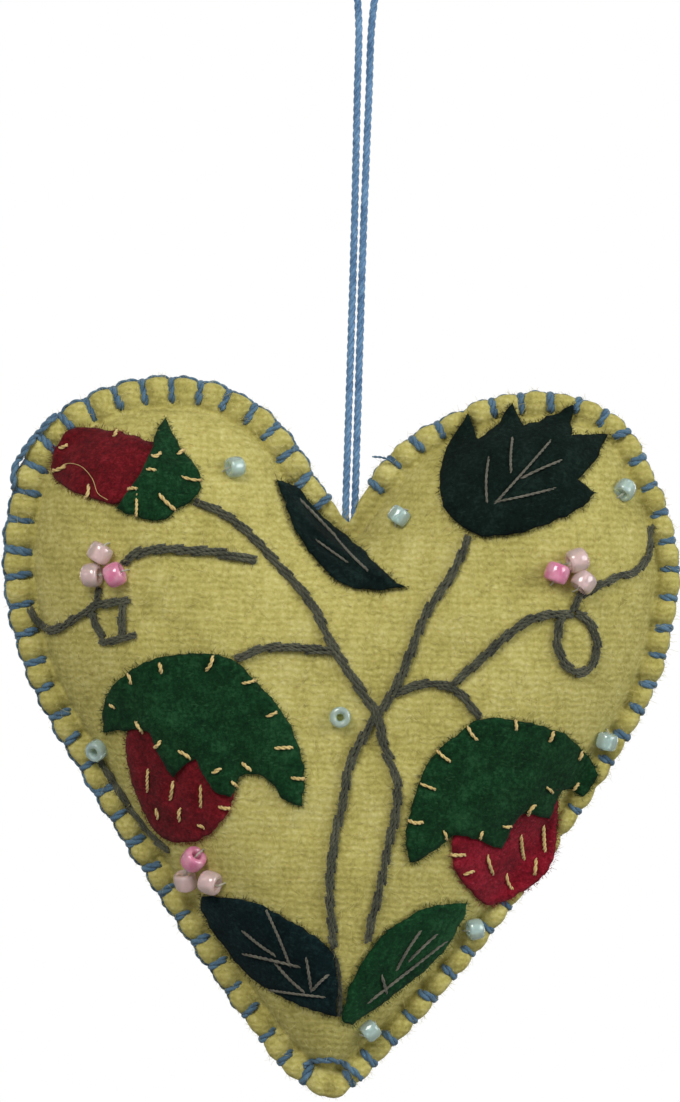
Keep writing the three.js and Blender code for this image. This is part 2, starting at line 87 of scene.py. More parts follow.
BERRIES = {
    "upper_left": [[
        (-27.5, 33.0), (-31.0, 31.0), (-36.3, 32.3), (-39.6, 34.4), (-39.8, 37.6), (-37.2, 41.0),
        (-30.0, 40.4), (-25.5, 38.6), (-24.8, 35.6), (-27.5, 33.0),
    ]],
    "middle_left": [[
        (-28.6, 1.0), (-28.9, -1.5), (-27.3, -7.9), (-24.2, -12.8), (-20.6, -13.7), (-17.0, -12.1),
        (-14.5, -8.2), (-14.6, -3.4), (-17.4, 0.6), (-22.4, 2.6), (-26.4, 2.6), (-28.6, 1.0),
    ]],
    "right": [[
        (14.9, -11.6), (15.3, -16.0), (18.8, -20.2), (21.0, -20.8), (25.6, -18.3), (28.3, -15.4),
        (28.9, -10.4), (28.6, -5.9), (25.4, -3.6), (19.6, -4.6), (16.2, -7.8), (14.9, -11.6),
    ]],
}

CAPS = {
    "upper_left": [
        [
            (-25.0, 42.7), (-22.7, 38.6), (-20.2, 35.7), (-20.2, 32.6), (-22.9, 30.5), (-25.8, 28.9),
            (-31.2, 30.4),
        ],
        [(-31.2, 30.4), (-28.7, 34.0), (-27.0, 37.4), (-26.2, 40.4), (-25.0, 42.7)],
    ],
    "middle_left": [
        [
            (-32.0, 0.6), (-31.9, 4.8), (-29.4, 8.2), (-25.7, 10.5), (-20.5, 11.5), (-15.4, 11.0),
            (-11.3, 7.6), (-7.3, 2.8), (-5.1, -3.3), (-5.1, -8.3),
        ],
        [(-5.1, -8.3), (-7.8, -7.3), (-9.8, -4.8), (-13.0, -4.3), (-14.6, -7.4)],
        [(-14.6, -7.4), (-17.0, -6.4), (-19.5, -2.5)],
        [(-19.5, -2.5), (-21.0, -3.4), (-22.3, -5.1)],
        [(-22.3, -5.1), (-24.3, -2.4), (-26.2, 0.9), (-32.0, 0.6)],
    ],
    "right": [
        [
            (9.2, -15.4), (8.7, -11.0), (11.0, -2.6), (14.3, 1.2), (18.2, 4.0), (23.3, 3.9),
            (29.1, 2.4), (32.3, -0.2), (34.3, -3.1),
        ],
        [(34.3, -3.1), (33.4, -4.9), (32.2, -6.0)],
        [(32.2, -6.0), (29.5, -5.3), (27.9, -9.2)],
        [(27.9, -9.2), (24.2, -8.5), (22.7, -10.8), (21.6, -13.4)],
        [(21.6, -13.4), (18.3, -12.1), (15.2, -11.6), (11.6, -14.4), (9.2, -15.4)],
    ],
}

LEAVES = {
    "serrated": [
        [(11.7, 34.6), (12.4, 39.4), (15.3, 44.6)],
        [(15.3, 44.6), (16.8, 41.2)],
        [(16.8, 41.2), (19.4, 43.5), (21.2, 46.3)],
        [(21.2, 46.3), (22.7, 43.1)],
        [(22.7, 43.1), (26.0, 44.4), (29.3, 46.2)],
        [(29.3, 46.2), (29.1, 42.0)],
        [(29.1, 42.0), (31.6, 42.4), (34.0, 42.3)],
        [(34.0, 42.3), (32.5, 39.0), (30.2, 36.2)],
        [(30.2, 36.2), (32.5, 34.5)],
        [
            (32.5, 34.5), (30.6, 32.5), (25.9, 30.0), (21.1, 28.5), (16.4, 28.6), (12.9, 31.3),
            (11.7, 34.6),
        ],
    ],
    "folded": [
        [(-9.9, 35.0), (-7.1, 34.0), (-4.2, 30.7), (0.0, 27.5), (5.2, 22.8), (7.6, 21.2)],
        [(7.6, 21.2), (2.1, 20.6), (-2.0, 22.2), (-6.7, 27.5), (-8.7, 31.8), (-9.9, 35.0)],
    ],
    "lower_left": [
        [(-18.3, -20.8), (-12.2, -21.1), (-7.8, -22.8), (-1.5, -26.5), (0.1, -30.4), (0.3, -36.3)],
        [(0.3, -36.3), (-5.6, -34.6), (-11.4, -31.5), (-15.8, -26.6), (-18.1, -23.1), (-18.3, -20.8)],
    ],
    "lower_right": [
        [(17.5, -20.5), (11.4, -21.5), (6.0, -25.2), (2.6, -30.4), (1.0, -36.4), (2.4, -37.3)],
        [(2.4, -37.3), (7.5, -33.5), (13.5, -28.3), (16.3, -23.7), (17.5, -20.5)],
    ],
}

VINE = [
    [
        (-20.5, 31.9), (-15.3, 29.2), (-9.7, 24.1), (-4.9, 18.7), (-1.6, 12.8), (2.1, 7.2), (4.4, 4.2),
        (5.4, 0.1), (7.5, -5.8), (6.5, -12.8), (5.3, -20.0), (4.0, -26.2),
    ],
    [
        (16.0, 28.2), (14.3, 23.9), (10.8, 18.5), (8.6, 12.7), (6.2, 7.1), (3.4, 2.7), (1.0, -2.6),
        (0.0, -9.1), (-1.1, -16.6), (-0.7, -24.0), (-0.6, -27.1),
    ],
    [(-1.3, 12.2), (-5.2, 12.6), (-9.8, 12.7), (-14.7, 11.1)],
    [(6.2, 7.1), (11.2, 8.5), (15.3, 7.4), (17.9, 4.0)],
    [(13.6, 8.1), (18.0, 12.0), (22.7, 16.4), (26.2, 18.0), (29.9, 18.1)],
    [
        (29.2, 18.6), (28.2, 16.9), (27.9, 14.2), (28.8, 11.9), (30.5, 10.6), (32.2, 11.0),
        (33.3, 13.1), (33.1, 15.3), (32.0, 17.4), (30.3, 18.7),
    ],
    [(31.1, 21.0), (30.3, 19.9), (29.7, 18.6)],
]
STEMS = {
    "upper_left": [[
        (-12.2, 23.9), (-17.6, 25.0), (-24.3, 25.2), (-26.8, 25.0), (-28.6, 24.3), (-30.0, 23.1),
    ]],
    "left_curl": [
        [
            (-42.2, 16.9), (-41.5, 15.4), (-39.9, 14.1), (-37.9, 14.4), (-36.3, 15.6), (-34.6, 16.6),
            (-33.3, 17.5), (-31.0, 17.9), (-28.8, 18.2),
        ],
        [(-32.8, 19.8), (-33.3, 18.6), (-33.6, 17.5)],
        [(-29.5, 18.1), (-29.8, 16.0), (-29.9, 13.1)],
        [(-27.7, 13.6), (-29.8, 13.2), (-32.8, 12.6)],
        [(-33.8, 16.6), (-33.2, 14.7), (-32.2, 12.8)],
    ],
    "right_tail": [[
        (31.1, 20.7), (33.0, 22.0), (34.4, 22.7), (36.1, 23.6), (38.0, 23.9), (39.1, 25.2),
        (40.0, 26.9), (40.2, 29.0), (40.6, 30.5),
    ]],
    "lower_left": [[(-32.3, -3.3), (-31.2, -5.0), (-28.9, -8.5), (-25.3, -12.9), (-22.6, -15.2)]],
}

# Small stitches, each from one end to the other: those that hold the felt down, seeds and veins
TACKS = {
    "strawberry_upper_left": [
        ((-39.0, 38.3), (-38.0, 38.7)), ((-39.9, 35.2), (-38.1, 35.9)), ((-31.4, 40.9), (-31.8, 40.1)),
        ((-34.9, 33.4), (-35.4, 31.5)),
    ],
    "cap_upper_left": [
        ((-29.6, 33.0), (-28.4, 33.1)), ((-28.4, 32.3), (-28.4, 29.0)), ((-25.3, 32.4), (-23.3, 30.5)),
        ((-22.4, 34.9), (-20.0, 34.5)), ((-23.1, 37.9), (-22.2, 38.6)), ((-26.5, 37.6), (-25.4, 38.0)),
        ((-27.1, 35.7), (-26.0, 35.6)),
    ],
    "strawberry_middle_left": [
        ((-25.8, -4.1), (-25.8, -7.1)), ((-22.4, -5.6), (-22.7, -8.0)), ((-18.7, -6.0), (-18.6, -8.8)),
        ((-24.6, -9.4), (-24.3, -10.7)), ((-21.3, -9.1), (-21.4, -10.8)), ((-16.1, -8.7), (-14.7, -8.9)),
        ((-18.9, -11.3), (-18.1, -11.7)),
    ],
    "cap_middle_left": [
        ((-28.8, 8.5), (-28.4, 7.2)), ((-31.1, 4.3), (-30.5, 3.9)), ((-24.6, 10.0), (-24.4, 8.85)),
        ((-17.6, 11.2), (-18.4, 9.4)), ((-13.5, 7.8), (-11.9, 8.2)), ((-27.6, 2.3), (-26.5, 0.65)),
        ((-24.2, -0.2), (-24.9, -1.1)), ((-21.7, -1.5), (-20.2, -2.4)), ((-17.1, -4.2), (-16.1, -3.6)),
        ((-13.2, -2.8), (-12.1, -3.7)), ((-14.5, -5.3), (-13.8, -6.0)), ((-10.2, 3.5), (-8.9, 4.1)),
        ((-8.9, -0.65), (-6.7, -0.5)), ((-6.6, -4.5), (-4.9, -4.6)),
    ],
    "strawberry_right": [
        ((14.65, -14.1), (16.7, -14.1)), ((19.7, -14.2), (20.5, -16.65)), ((24.1, -11.5), (24.6, -14.6)),
        ((27.1, -10.2), (27.4, -13.45)), ((26.25, -14.6), (26.1, -16.7)), ((22.4, -16.7), (23.2, -18.7)),
        ((16.65, -16.8), (17.9, -16.3)),
    ],
    "cap_right": [
        ((16.5, 2.9), (17.7, 1.25)), ((12.5, -0.3), (14.25, -1.7)), ((22.8, 3.9), (22.9, 2.7)),
        ((27.9, 2.5), (27.45, 1.3)), ((31.9, -0.1), (31.5, -1.1)), ((31.6, -4.4), (31.0, -5.2)),
        ((27.3, -4.9), (28.1, -5.6)), ((25.8, -7.35), (24.9, -8.6)), ((18.9, -11.0), (18.6, -11.9)),
        ((13.7, -11.0), (14.1, -12.1)), ((21.6, -10.2), (22.7, -10.2)), ((10.5, -4.8), (12.4, -5.5)),
        ((9.1, -9.7), (10.9, -9.85)),
    ],
}
VEINS = {
    "leaf_serrated": [
        ((18.2, 38.6), (18.1, 32.8)), ((21.3, 41.3), (21.2, 36.8)), ((19.3, 32.8), (26.2, 41.0)),
        ((22.6, 36.1), (27.75, 38.6)), ((19.5, 32.9), (27.1, 34.9)),
    ],
    "leaf_folded": [
        ((-6.5, 32.2), (-1.9, 27.7)), ((-1.9, 27.6), (2.5, 23.3)), ((-4.3, 27.0), (-0.1, 24.2)),
    ],
    "leaf_lower_left": [
        ((-9.5, -22.3), (-6.2, -29.4)), ((-12.5, -25.3), (-8.15, -28.3)), ((-12.2, -28.4), (-5.0, -29.65)),
        ((-8.1, -29.3), (-4.2, -33.0)), ((-4.0, -28.4), (-3.2, -32.7)), ((-1.0, -30.6), (-3.0, -32.7)),
        ((-8.5, -33.1), (-1.5, -33.6)),
    ],
    "leaf_lower_right": [
        ((4.6, -34.1), (14.2, -26.2)), ((8.1, -29.7), (11.0, -24.6)), ((9.7, -28.5), (13.2, -25.0)),
        ((6.1, -30.5), (6.8, -32.9)),
    ],
}

# Beads: where each lies, and which way its hole points, in degrees, or None for outwards
BEADS = {
    "bead_aqua": [
        (-15.5, 36.4, 20), (6.5, 30.6, 60), (36.5, 35.0, 40), (-0.5, 3.7, None),
        (-32.8, -1.9, None), (35.2, 1.4, 80), (18.4, -24.2, 10), (4.8, -38.1, 35),
    ],
    "bead_left": [(-30.5, 21.4, 25), (-33.1, 24.9, 60), (-34.3, 21.2, 5)],
    "bead_right": [(27.1, 23.6, 70), (30.4, 25.8, 20), (31.6, 22.3, 50)],
    "bead_low": [(-19.5, -15.4, 45), (-20.7, -19.1, 80), (-16.6, -19.2, 0)],
}


# Plan geometry, in millimetres

def spline(points, per_span=24):
    """A smooth curve through the points, finely sampled, as an array."""
    p = np.asarray(points, float)
    if len(p) == 2:
        return p
    ext = np.vstack([2 * p[0] - p[1], p, 2 * p[-1] - p[-2]])
    t = np.linspace(0, 1, per_span, endpoint=False)[:, None]
    out = []
    for i in range(1, len(ext) - 2):
        a, b, c, d = ext[i - 1], ext[i], ext[i + 1], ext[i + 2]
        cubic = (3 * b - a - 3 * c + d) * t**3 + (2 * a - 5 * b + 4 * c - d) * t**2 + (c - a) * t + 2 * b
        out.append(0.5 * cubic)
    return np.vstack(out + [p[-1:]])


def unit(rows):
    """Each row as a direction of length 1."""
    return rows / (np.linalg.norm(rows, axis=1)[:, None] + TINY)


def lengths_along(path):
    """How far along a path each of its points lies."""
    return np.concatenate([[0], np.cumsum(np.linalg.norm(np.diff(path, axis=0), axis=1))])


def resample(points, step=None, count=None):
    """The path again, with evenly spaced points."""
    p = np.asarray(points, float)
    length = lengths_along(p)
    count = count or max(2, int(round(length[-1] / step)) + 1)
    at = np.linspace(0, length[-1], count)
    return np.stack([np.interp(at, length, p[:, k]) for k in range(p.shape[1])], axis=1)


def outline(stretches, step):
    """A closed outline from smooth stretches that meet at its corners."""
    return np.vstack([resample(spline(stretch), step=step)[:-1] for stretch in stretches])


def signed_area(points):
    following = np.roll(points, -1, axis=0)
    return np.sum(points[:, 0] * following[:, 1] - points[:, 1] * following[:, 0]) / 2


def normals_2d(points):
    """Outward normals of a closed outline."""
    along = unit(np.roll(points, -1, axis=0) - np.roll(points, 1, axis=0))
    return np.stack([along[:, 1], -along[:, 0]], axis=1) * np.sign(signed_area(points))


def in_chunks(measure, places, size=4000):
    """Measures some thousand places at a time, which keeps the tables small."""
    return np.concatenate([measure(places[i:i + size]) for i in range(0, len(places), size)])


def distance_to(points, places):
    """Distance from each place to the nearest point of a closed outline."""
    ab = np.roll(points, -1, axis=0) - points
    square = np.sum(ab * ab, axis=1)

    def nearest(some):
        ap = some[:, None, :] - points[None]
        t = np.clip(np.sum(ap * ab, axis=2) / square, 0, 1)
        return np.min(np.linalg.norm(ap - t[..., None] * ab, axis=2), axis=1)

    return in_chunks(nearest, places)


def inside(points, places):
    """True for the places that a closed outline holds."""
    a, b = points, np.roll(points, -1, axis=0)
    x, y = places[:, 0:1], places[:, 1:2]
    crosses = (a[:, 1] > y) != (b[:, 1] > y)
    at = (b[:, 0] - a[:, 0]) * (y - a[:, 1]) / (b[:, 1] - a[:, 1] + TINY) + a[:, 0]
    return np.sum(crosses & (x < at), axis=1) % 2 == 1


def signed_depth(points, places):
    """How far inside an outline each place lies, below 0 outside it."""
    return np.where(inside(points, places), 1, -1) * distance_to(points, places)


def smoothstep(low, high, value):
    t = np.clip((value - low) / (high - low), 0, 1)
    return t * t * (3 - 2 * t)


SILHOUETTE = resample(spline(HEART), step=1.0)[:-1]
FELT_EDGE = SILHOUETTE - EDGE_YARN * normals_2d(SILHOUETTE)
FELT_EDGE[0] = CLEFT_FOOT
MIDDLE = np.array([-0.8, 7.0])
HANG = CLEFT_FOOT[1] + EDGE_YARN + LOOP_RISE


def felt_edge(count):
    """The felt's edge as a closed outline of evenly spaced points."""
    return resample(np.vstack([FELT_EDGE, FELT_EDGE[:1]]), count=count + 1)[:-1]


def depth_inside(places):
    """Distance from a place in the heart to its edge, smoothed so that it has no creases inside."""
    steps = np.linalg.norm(np.roll(FELT_EDGE, -1, axis=0) - FELT_EDGE, axis=1)
    least_square = 0.25

    def pull(some):
        square = np.sum((some[:, None, :] - FELT_EDGE[None]) ** 2, axis=2)
        return np.sum(steps / np.maximum(square, least_square) ** 2, axis=1)

    return (in_chunks(pull, np.atleast_2d(places)) / (math.pi / 2)) ** (-1 / 3)


FULLEST = float(depth_inside(MIDDLE)[0])


def noise_2d(places, size, seed, waves=10):
    """A smooth random field, a sum of a few waves of about one size."""
    draw = np.random.default_rng(seed)
    total = np.zeros(len(places))
    for _ in range(waves):
        angle = draw.uniform(0, 2 * math.pi)
        wave = 2 * math.pi / (size * draw.uniform(0.7, 1.5))
        way = np.array([math.cos(angle), math.sin(angle)]) * wave
        total += np.sin(places @ way + draw.uniform(0, 2 * math.pi))
    return total / math.sqrt(waves)


# Where the blanket stitches cross the edge, as the solid one has them

def edge_stitches():
    line = FELT_EDGE + (GAP + YARN_DIAMETER / 2) * normals_2d(FELT_EDGE)
    beside_cord = (CORD_DIAMETER + GAP) / 2 + CORD_DIAMETER / 2 + GAP + YARN_DIAMETER
    line = line[~((line[:, 1] > 0) & (np.abs(line[:, 0]) < beside_cord))]
    count = int(round(lengths_along(line)[-1] / STITCH_PITCH)) + 1
    return resample(line, count=count), resample(line, count=PURL_STEPS * (count - 1) + 1)


STITCHES, PURL_LINE = edge_stitches()


def stitch_phase(places):
    """0 at a blanket stitch and 1 half way between two, for places near the edge."""
    def nearest(some):
        return np.argmin(np.sum((some[:, None, :] - PURL_LINE[None]) ** 2, axis=2), axis=1)

    return np.abs(np.sin(math.pi * in_chunks(nearest, places) / PURL_STEPS))


def tack_dimple(places, tacks):
    """How strongly stitches pull the felt down: 1 under a stitch and 0 beyond its reach."""
    pull = np.zeros(len(places))
    for a, b in np.asarray(tacks):
        ab = b - a
        t = np.clip(((places - a) @ ab) / (ab @ ab), 0, 1)
        d = np.linalg.norm(places - a - t[:, None] * ab, axis=1)
        pull = np.maximum(pull, np.exp(-((d / TACK_REACH) ** 2)))
    return pull


# How far in the edge stitches reach, read at places round the heart
BITES = [
    (-24, 48, 2.9), (-43, 36, 3.2), (-46, 20, 3.0), (-40, 4, 2.1), (-26, -18, 1.8), (-10, -40, 2.0),
    (0, -47, 2.4), (10, -38, 1.8), (26, -17, 1.3), (41, 7, 1.5), (44, 24, 1.7), (36, 44, 1.9),
    (20, 47, 2.0), (6, 40, 2.1), (-8, 40, 2.8),
]
# How far behind the seam the thread along the edge lies, read in the same way
PURL_BACK = [
    (-43, 36, -0.9), (-46, 20, -0.7), (-24, 48, 0.0), (-38, -2, -0.5), (-26, -18, -0.3), (0, -47, 0.9),
    (26, -17, 1.0), (44, 24, 0.6), (20, 47, 0.7), (6, 40, 0.5), (-8, 40, 0.2),
]
# How deep a groove lies between the sewn rim and the filled middle, read in the same way
GROOVES = [
    (-24, 48, 0.3), (-43, 36, 0.35), (-46, 20, 0.5), (-38, -2, 0.75), (-26, -18, 0.95), (0, -47, 1.0),
    (26, -17, 0.95), (44, 24, 0.75), (20, 47, 0.4), (6, 40, 0.45), (-8, 40, 0.4),
]


def read_off(table, places):
    """A value at each place, blended from the nearest entries of a table of places and values."""
    spots = np.array(table)
    square = np.sum((places[:, None] - spots[None, :, :2]) ** 2, axis=2)
    soften = 4
    weight = 1 / (square + soften) ** 1.5
    return weight @ spots[:, 2] / weight.sum(axis=1)


# Shares that shape the felt's height
RIM_PER_BITE = 0.6
RIM_SPARE = 1.1
DOME_RISE = 2.2
DOME_CROWN = 0.8
LUMP_SIZE, LUMP_HEIGHT = 14, 0.2
RIPPLE_SIZE, RIPPLE_HEIGHT = 5, 0.06
PUFF_HEIGHT, PUFF_CHANGE = 1.35, 0.25
PUFF_BALANCE = 0.55
GROOVE_WIDTH = 0.7
GROOVE_INSET = 0.4
THINNEST = 0.4


def surface_at(places, front):
    """The felt's height: the dome, soft lumps of filling, and puffs between the edge stitches."""
    depth = depth_inside(places)
    rim = RIM_PER_BITE * read_off(BITES, places) + RIM_SPARE
    share = np.clip((depth - rim) / (FULLEST - rim), 0, 1)
    rise = SEAM + (HALF_DEPTH - SEAM) * (1 - (1 - share) ** DOME_RISE) ** DOME_CROWN
    lumps = noise_2d(places, LUMP_SIZE, 3 if front else 4) * LUMP_HEIGHT
    lumps += noise_2d(places, RIPPLE_SIZE, 5 if front else 6) * RIPPLE_HEIGHT
    rise += lumps * smoothstep(3, 12, depth)
    pillow = stitch_phase(places) ** 0.6
    puff = (pillow - PUFF_BALANCE) * (PUFF_HEIGHT + PUFF_CHANGE * noise_2d(places, 9, 8))
    rise += puff * smoothstep(-1.2, 0.2, depth) * (1 - smoothstep(rim - 1, rim + 0.4, depth))
    groove = read_off(GROOVES, places) * (1.2 - 0.5 * pillow)
    rise -= groove * np.exp(-(((depth - rim + GROOVE_INSET) / GROOVE_WIDTH) ** 2))
    return np.maximum(rise, THINNEST)


def box_blur(grid, reach):
    """The mean of a grid over short runs, along one axis and then the other."""
    width = 2 * reach + 1
    for axis in (0, 1):
        pad = [(0, 0), (0, 0)]
        pad[axis] = (reach + 1, reach)
        total = np.cumsum(np.pad(grid, pad, mode="edge"), axis=axis)
        n = grid.shape[axis]
        grid = (np.take(total, range(width, width + n), axis) - np.take(total, range(n), axis)) / width
    return grid


class HeightField:
    """Heights worked out once on a fine grid and looked up smoothly after that."""

    step = 0.25
    margin = 3
    drape_sink = 0.12

    def __init__(self, front):
        self.low = SILHOUETTE.min(axis=0) - self.margin
        size = SILHOUETTE.max(axis=0) + self.margin - self.low
        self.shape = tuple(int(n) for n in np.ceil(size / self.step) + 2)
        u, v = np.meshgrid(*(np.arange(n) * self.step for n in self.shape), indexing="ij")
        places = np.stack([u.ravel(), v.ravel()], axis=1) + self.low
        self.values = surface_at(places, front).reshape(self.shape)
        smooth = self.values
        for _ in range(3):
            smooth = box_blur(smooth, 4)
        self.draped = box_blur(np.maximum(self.values - self.drape_sink, smooth), 1)

    def at(self, places, draped=False):
        grid = self.draped if draped else self.values
        x = np.clip((places - self.low) / self.step, 0, np.array(self.shape) - 1.001)
        i, j = x.astype(int).T
        f, g = (x - x.astype(int)).T
        near = grid[i, j] * (1 - f) + grid[i + 1, j] * f
        far = grid[i, j + 1] * (1 - f) + grid[i + 1, j + 1] * f
        return near * (1 - g) + far * g


FRONT, BACK = HeightField(True), HeightField(False)


def heart_surface(places, front=True):
    return (FRONT if front else BACK).at(places)


def standing(places, rise, front=True):
    """Points in the part's frame, in millimetres, that stand a height off the seam."""
    return np.stack([places[:, 0], -rise if front else rise, places[:, 1] - HANG], axis=1)


# Mesh helpers

def new_object(name, verts, faces, material):
    mesh = bpy.data.meshes.new(name)
    mesh.from_pydata([tuple(v) for v in np.asarray(verts).tolist()], [], faces)
    mesh.validate()
    obj = bpy.data.objects.new(name, mesh)
    bpy.context.collection.objects.link(obj)
    mesh.materials.append(material)
    mesh.polygons.foreach_set("use_smooth", [True] * len(mesh.polygons))
    bm = bmesh.new()
    bm.from_mesh(mesh)
    bmesh.ops.recalc_face_normals(bm, faces=bm.faces)
    bm.to_mesh(mesh)
    bm.free()
    return obj


def frames_along(path):
    """The directions across and above a path at each of its points, without twist."""
    tangent = unit(np.gradient(path, axis=0))
    side = np.cross(tangent[0], (0.3, 0.9, 0.2))
    across = []
    for t in tangent:
        side = side - t * (side @ t)
        side /= np.linalg.norm(side) + TINY
        across.append(side)
    across = np.array(across)
    return across, np.cross(tangent, across)


class Threads:
    """Gathers many tubes into one mesh."""

    end_taper_mm = 0.25

    def __init__(self):
        self.verts, self.faces, self.count = [], [], 0

    def tube(self, path, radius, sides=6):
        """A closed tube along a path; its radius may vary along it."""
        path = np.asarray(path, float)
        n, start = len(path), self.count
        radius = np.broadcast_to(np.asarray(radius, float), (n,))
        across, up = frames_along(path)
        angles = np.linspace(0, 2 * math.pi, sides, endpoint=False)[None, :, None]
        ring = np.cos(angles) * across[:, None] + np.sin(angles) * up[:, None]
        self.verts.append((path[:, None] + radius[:, None, None] * ring).reshape(-1, 3))
        for row in range(start, start + (n - 1) * sides, sides):
            for k in range(sides):
                a, b = row + k, row + (k + 1) % sides
                self.faces.append((a, b, b + sides, a + sides))
        self.faces.append(tuple(start + k for k in range(sides))[::-1])
        self.faces.append(tuple(start + (n - 1) * sides + k for k in range(sides)))
        self.count += n * sides

    def twisted(self, path, diameter, plies=2, pitch=2.2, step=0.3, sides=6, phase=0.0):
        """A twisted yarn along a path in millimetres: its plies wind round the middle line."""
        path = resample(path, step=step)
        length = lengths_along(path)
        across, up = frames_along(path)
        ply = diameter / 2 * (0.56 if plies == 2 else 0.5)
        out = diameter / 2 - ply
        from_end = np.minimum(length, length[-1] - length)
        taper = np.clip(from_end / self.end_taper_mm, 0.35, 1) ** 0.5
        for k in range(plies):
            angle = phase + 2 * math.pi * (length / pitch + k / plies)
            middle = path + out * (np.cos(angle)[:, None] * across + np.sin(angle)[:, None] * up)
            self.tube(middle, ply * taper, sides)

    def build(self, name, material):
        return new_object(name, np.vstack(self.verts) * MM, self.faces, material)


# Materials

def linear(rgb):
    """A screen colour of 0 to 255 as the shader's own, fully opaque."""
    shares = (v / 255 for v in rgb)
    return (*(c / 12.92 if c <= 0.04045 else ((c + 0.055) / 1.055) ** 2.4 for c in shares), 1)


class Shading:
    """A material in the making: each method adds a node and gives its output."""

    def __init__(self, name):
        self.material = bpy.data.materials.new(name)
        self.material.use_nodes = True
        self.nodes, self.links = self.material.node_tree.nodes, self.material.node_tree.links
        self.shader = self.nodes["Principled BSDF"]
        self.coords = self.nodes.new("ShaderNodeTexCoord").outputs["Object"]

    def feed(self, socket, value):
        if hasattr(value, "links"):
            self.links.new(value, socket)
        else:
            socket.default_value = value

    def add(self, kind, output, **inputs):
        """A node of a kind with its inputs fed by name."""
        node = self.nodes.new(kind)
        for name, value in inputs.items():
            self.feed(node.inputs[name.replace("_", " ")], value)
        return node, node.outputs[output]

    def noise(self, size_mm, detail, roughness, stretch=None):
        source = self.coords
        if stretch:
            source = self.add("ShaderNodeMapping", "Vector", Scale=stretch, Vector=source)[1]
        scale = 1.0 / (size_mm * MM)
        return self.add("ShaderNodeTexNoise", "Fac", Vector=source,
                        Scale=scale, Detail=detail, Roughness=roughness)[1]

    def wave(self, direction, period_mm, distortion):
        scale = 2 * math.pi / (20 * period_mm * MM)
        node, out = self.add("ShaderNodeTexWave", "Fac", Vector=self.coords,
                             Scale=scale, Distortion=distortion, Detail=3.0, Detail_Scale=1.6)
        node.bands_direction = direction
        return out

    def ramp(self, factor, stops):
        node, out = self.add("ShaderNodeValToRGB", "Color", Fac=factor)
        elements = node.color_ramp.elements
        while len(elements) < len(stops):
            elements.new(0.5)
        for element, (place, colour) in zip(elements, stops):
            element.position = place
            element.color = linear(colour)
        return out

    def mix(self, factor, a, b):
        node = self.nodes.new("ShaderNodeMix")
        node.data_type = "RGBA"
        for socket, value in ((node.inputs[0], factor), (node.inputs[6], a), (node.inputs[7], b)):
            self.feed(socket, value)
        return node.outputs[2]

    def math(self, operation, a, b):
        node = self.nodes.new("ShaderNodeMath")
        node.operation = operation
        self.feed(node.inputs[0], a)
        self.feed(node.inputs[1], b)
        return node.outputs[0]

    def total(self, *parts):
        """The sum of some values, each times its share."""
        shares = [self.math("MULTIPLY", value, share) for value, share in parts]
        out = shares[0]
        for share in shares[1:]:
            out = self.math("ADD", out, share)
        return out

    def bump(self, height, depth_mm, strength):
        normal = self.add("ShaderNodeBump", "Normal", Height=height, Strength=strength,
                          Distance=depth_mm * MM)[1]
        self.links.new(normal, self.shader.inputs["Normal"])

    def finish(self, colour, plain):
        """The material, with its colour and the shader's plain values by their names."""
        self.feed(self.shader.inputs["Base Color"], colour)
        for name, value in plain.items():
            self.shader.inputs[name].default_value = value
        return self.material


def felt_material(name, sheen, dark, middle, light, fleck, rib_mm=None, bump_mm=0.26, spread=0.13):
    """Fulled wool: matted fibres at two sizes, stray flecks and, where asked, faint woven ribs."""
    shading = Shading(name)
    fibres = shading.noise(0.55, 6, 0.7)
    mottle = shading.noise(3.2, 3, 0.55)
    clouds = shading.noise(14, 2, 0.5)
    tone = shading.total((fibres, 0.55), (mottle, 0.3), (clouds, 0.15))
    height = fibres
    if rib_mm:
        ends = shading.math("ADD", shading.wave("X", rib_mm * 1.25, 6.5), 0.6)
        weave = shading.math("MULTIPLY", shading.wave("Z", rib_mm, 5.5), ends)
        tone = shading.math("SUBTRACT", shading.total((tone, 1.0), (weave, 0.07)), 0.04)
        height = shading.total((weave, 0.3), (fibres, 1.0))
    ground = shading.ramp(tone, [(0.5 - spread, dark), (0.5, middle), (0.5 + spread, light)])
    flecks = shading.noise(0.8, 2, 0.5, stretch=(1, 1, 2.6))
    speck = shading.ramp(flecks, [(0.62, (0, 0, 0)), (0.72, (255, 255, 255))])
    colour = shading.mix(shading.math("MULTIPLY", speck, 0.35), ground, linear(fleck))
    shading.bump(height, bump_mm, 0.85)
    return shading.finish(colour, {
        "Roughness": 0.95, "Specular IOR Level": 0.06, "Sheen Weight": sheen, "Sheen Roughness": 0.6,
    })


def thread_material(name, dark, light):
    """Spun thread: fine fibres along it as streaky noise, and slight changes of tone."""
    shading = Shading(name)
    fibres = shading.noise(0.16, 4, 0.65)
    mottle = shading.noise(1.7, 2, 0.5)
    colour = shading.ramp(shading.total((fibres, 0.6), (mottle, 0.4)), [(0.34, dark), (0.66, light)])
    shading.bump(fibres, 0.06, 0.8)
    return shading.finish(colour, {"Roughness": 0.8, "Specular IOR Level": 0.25, "Sheen Weight": 0.2})


def glass_material(name, transmission, tint, deep=None):
    """Seed-bead glass: tinted, glossy and partly see-through, with a faint lustre coat."""
    shading = Shading(name)
    clouds = shading.noise(1.1, 2, 0.5)
    colour = shading.ramp(clouds, [(0.35, deep), (0.65, tint)]) if deep else linear(tint)
    shading.bump(clouds, 0.03, 0.4)
    return shading.finish(colour, {
        "Roughness": 0.07, "IOR": 1.5, "Transmission Weight": transmission,
        "Coat Weight": 0.7, "Coat Roughness": 0.12, "Coat Tint": (1.0, 0.97, 0.97, 1),
    })


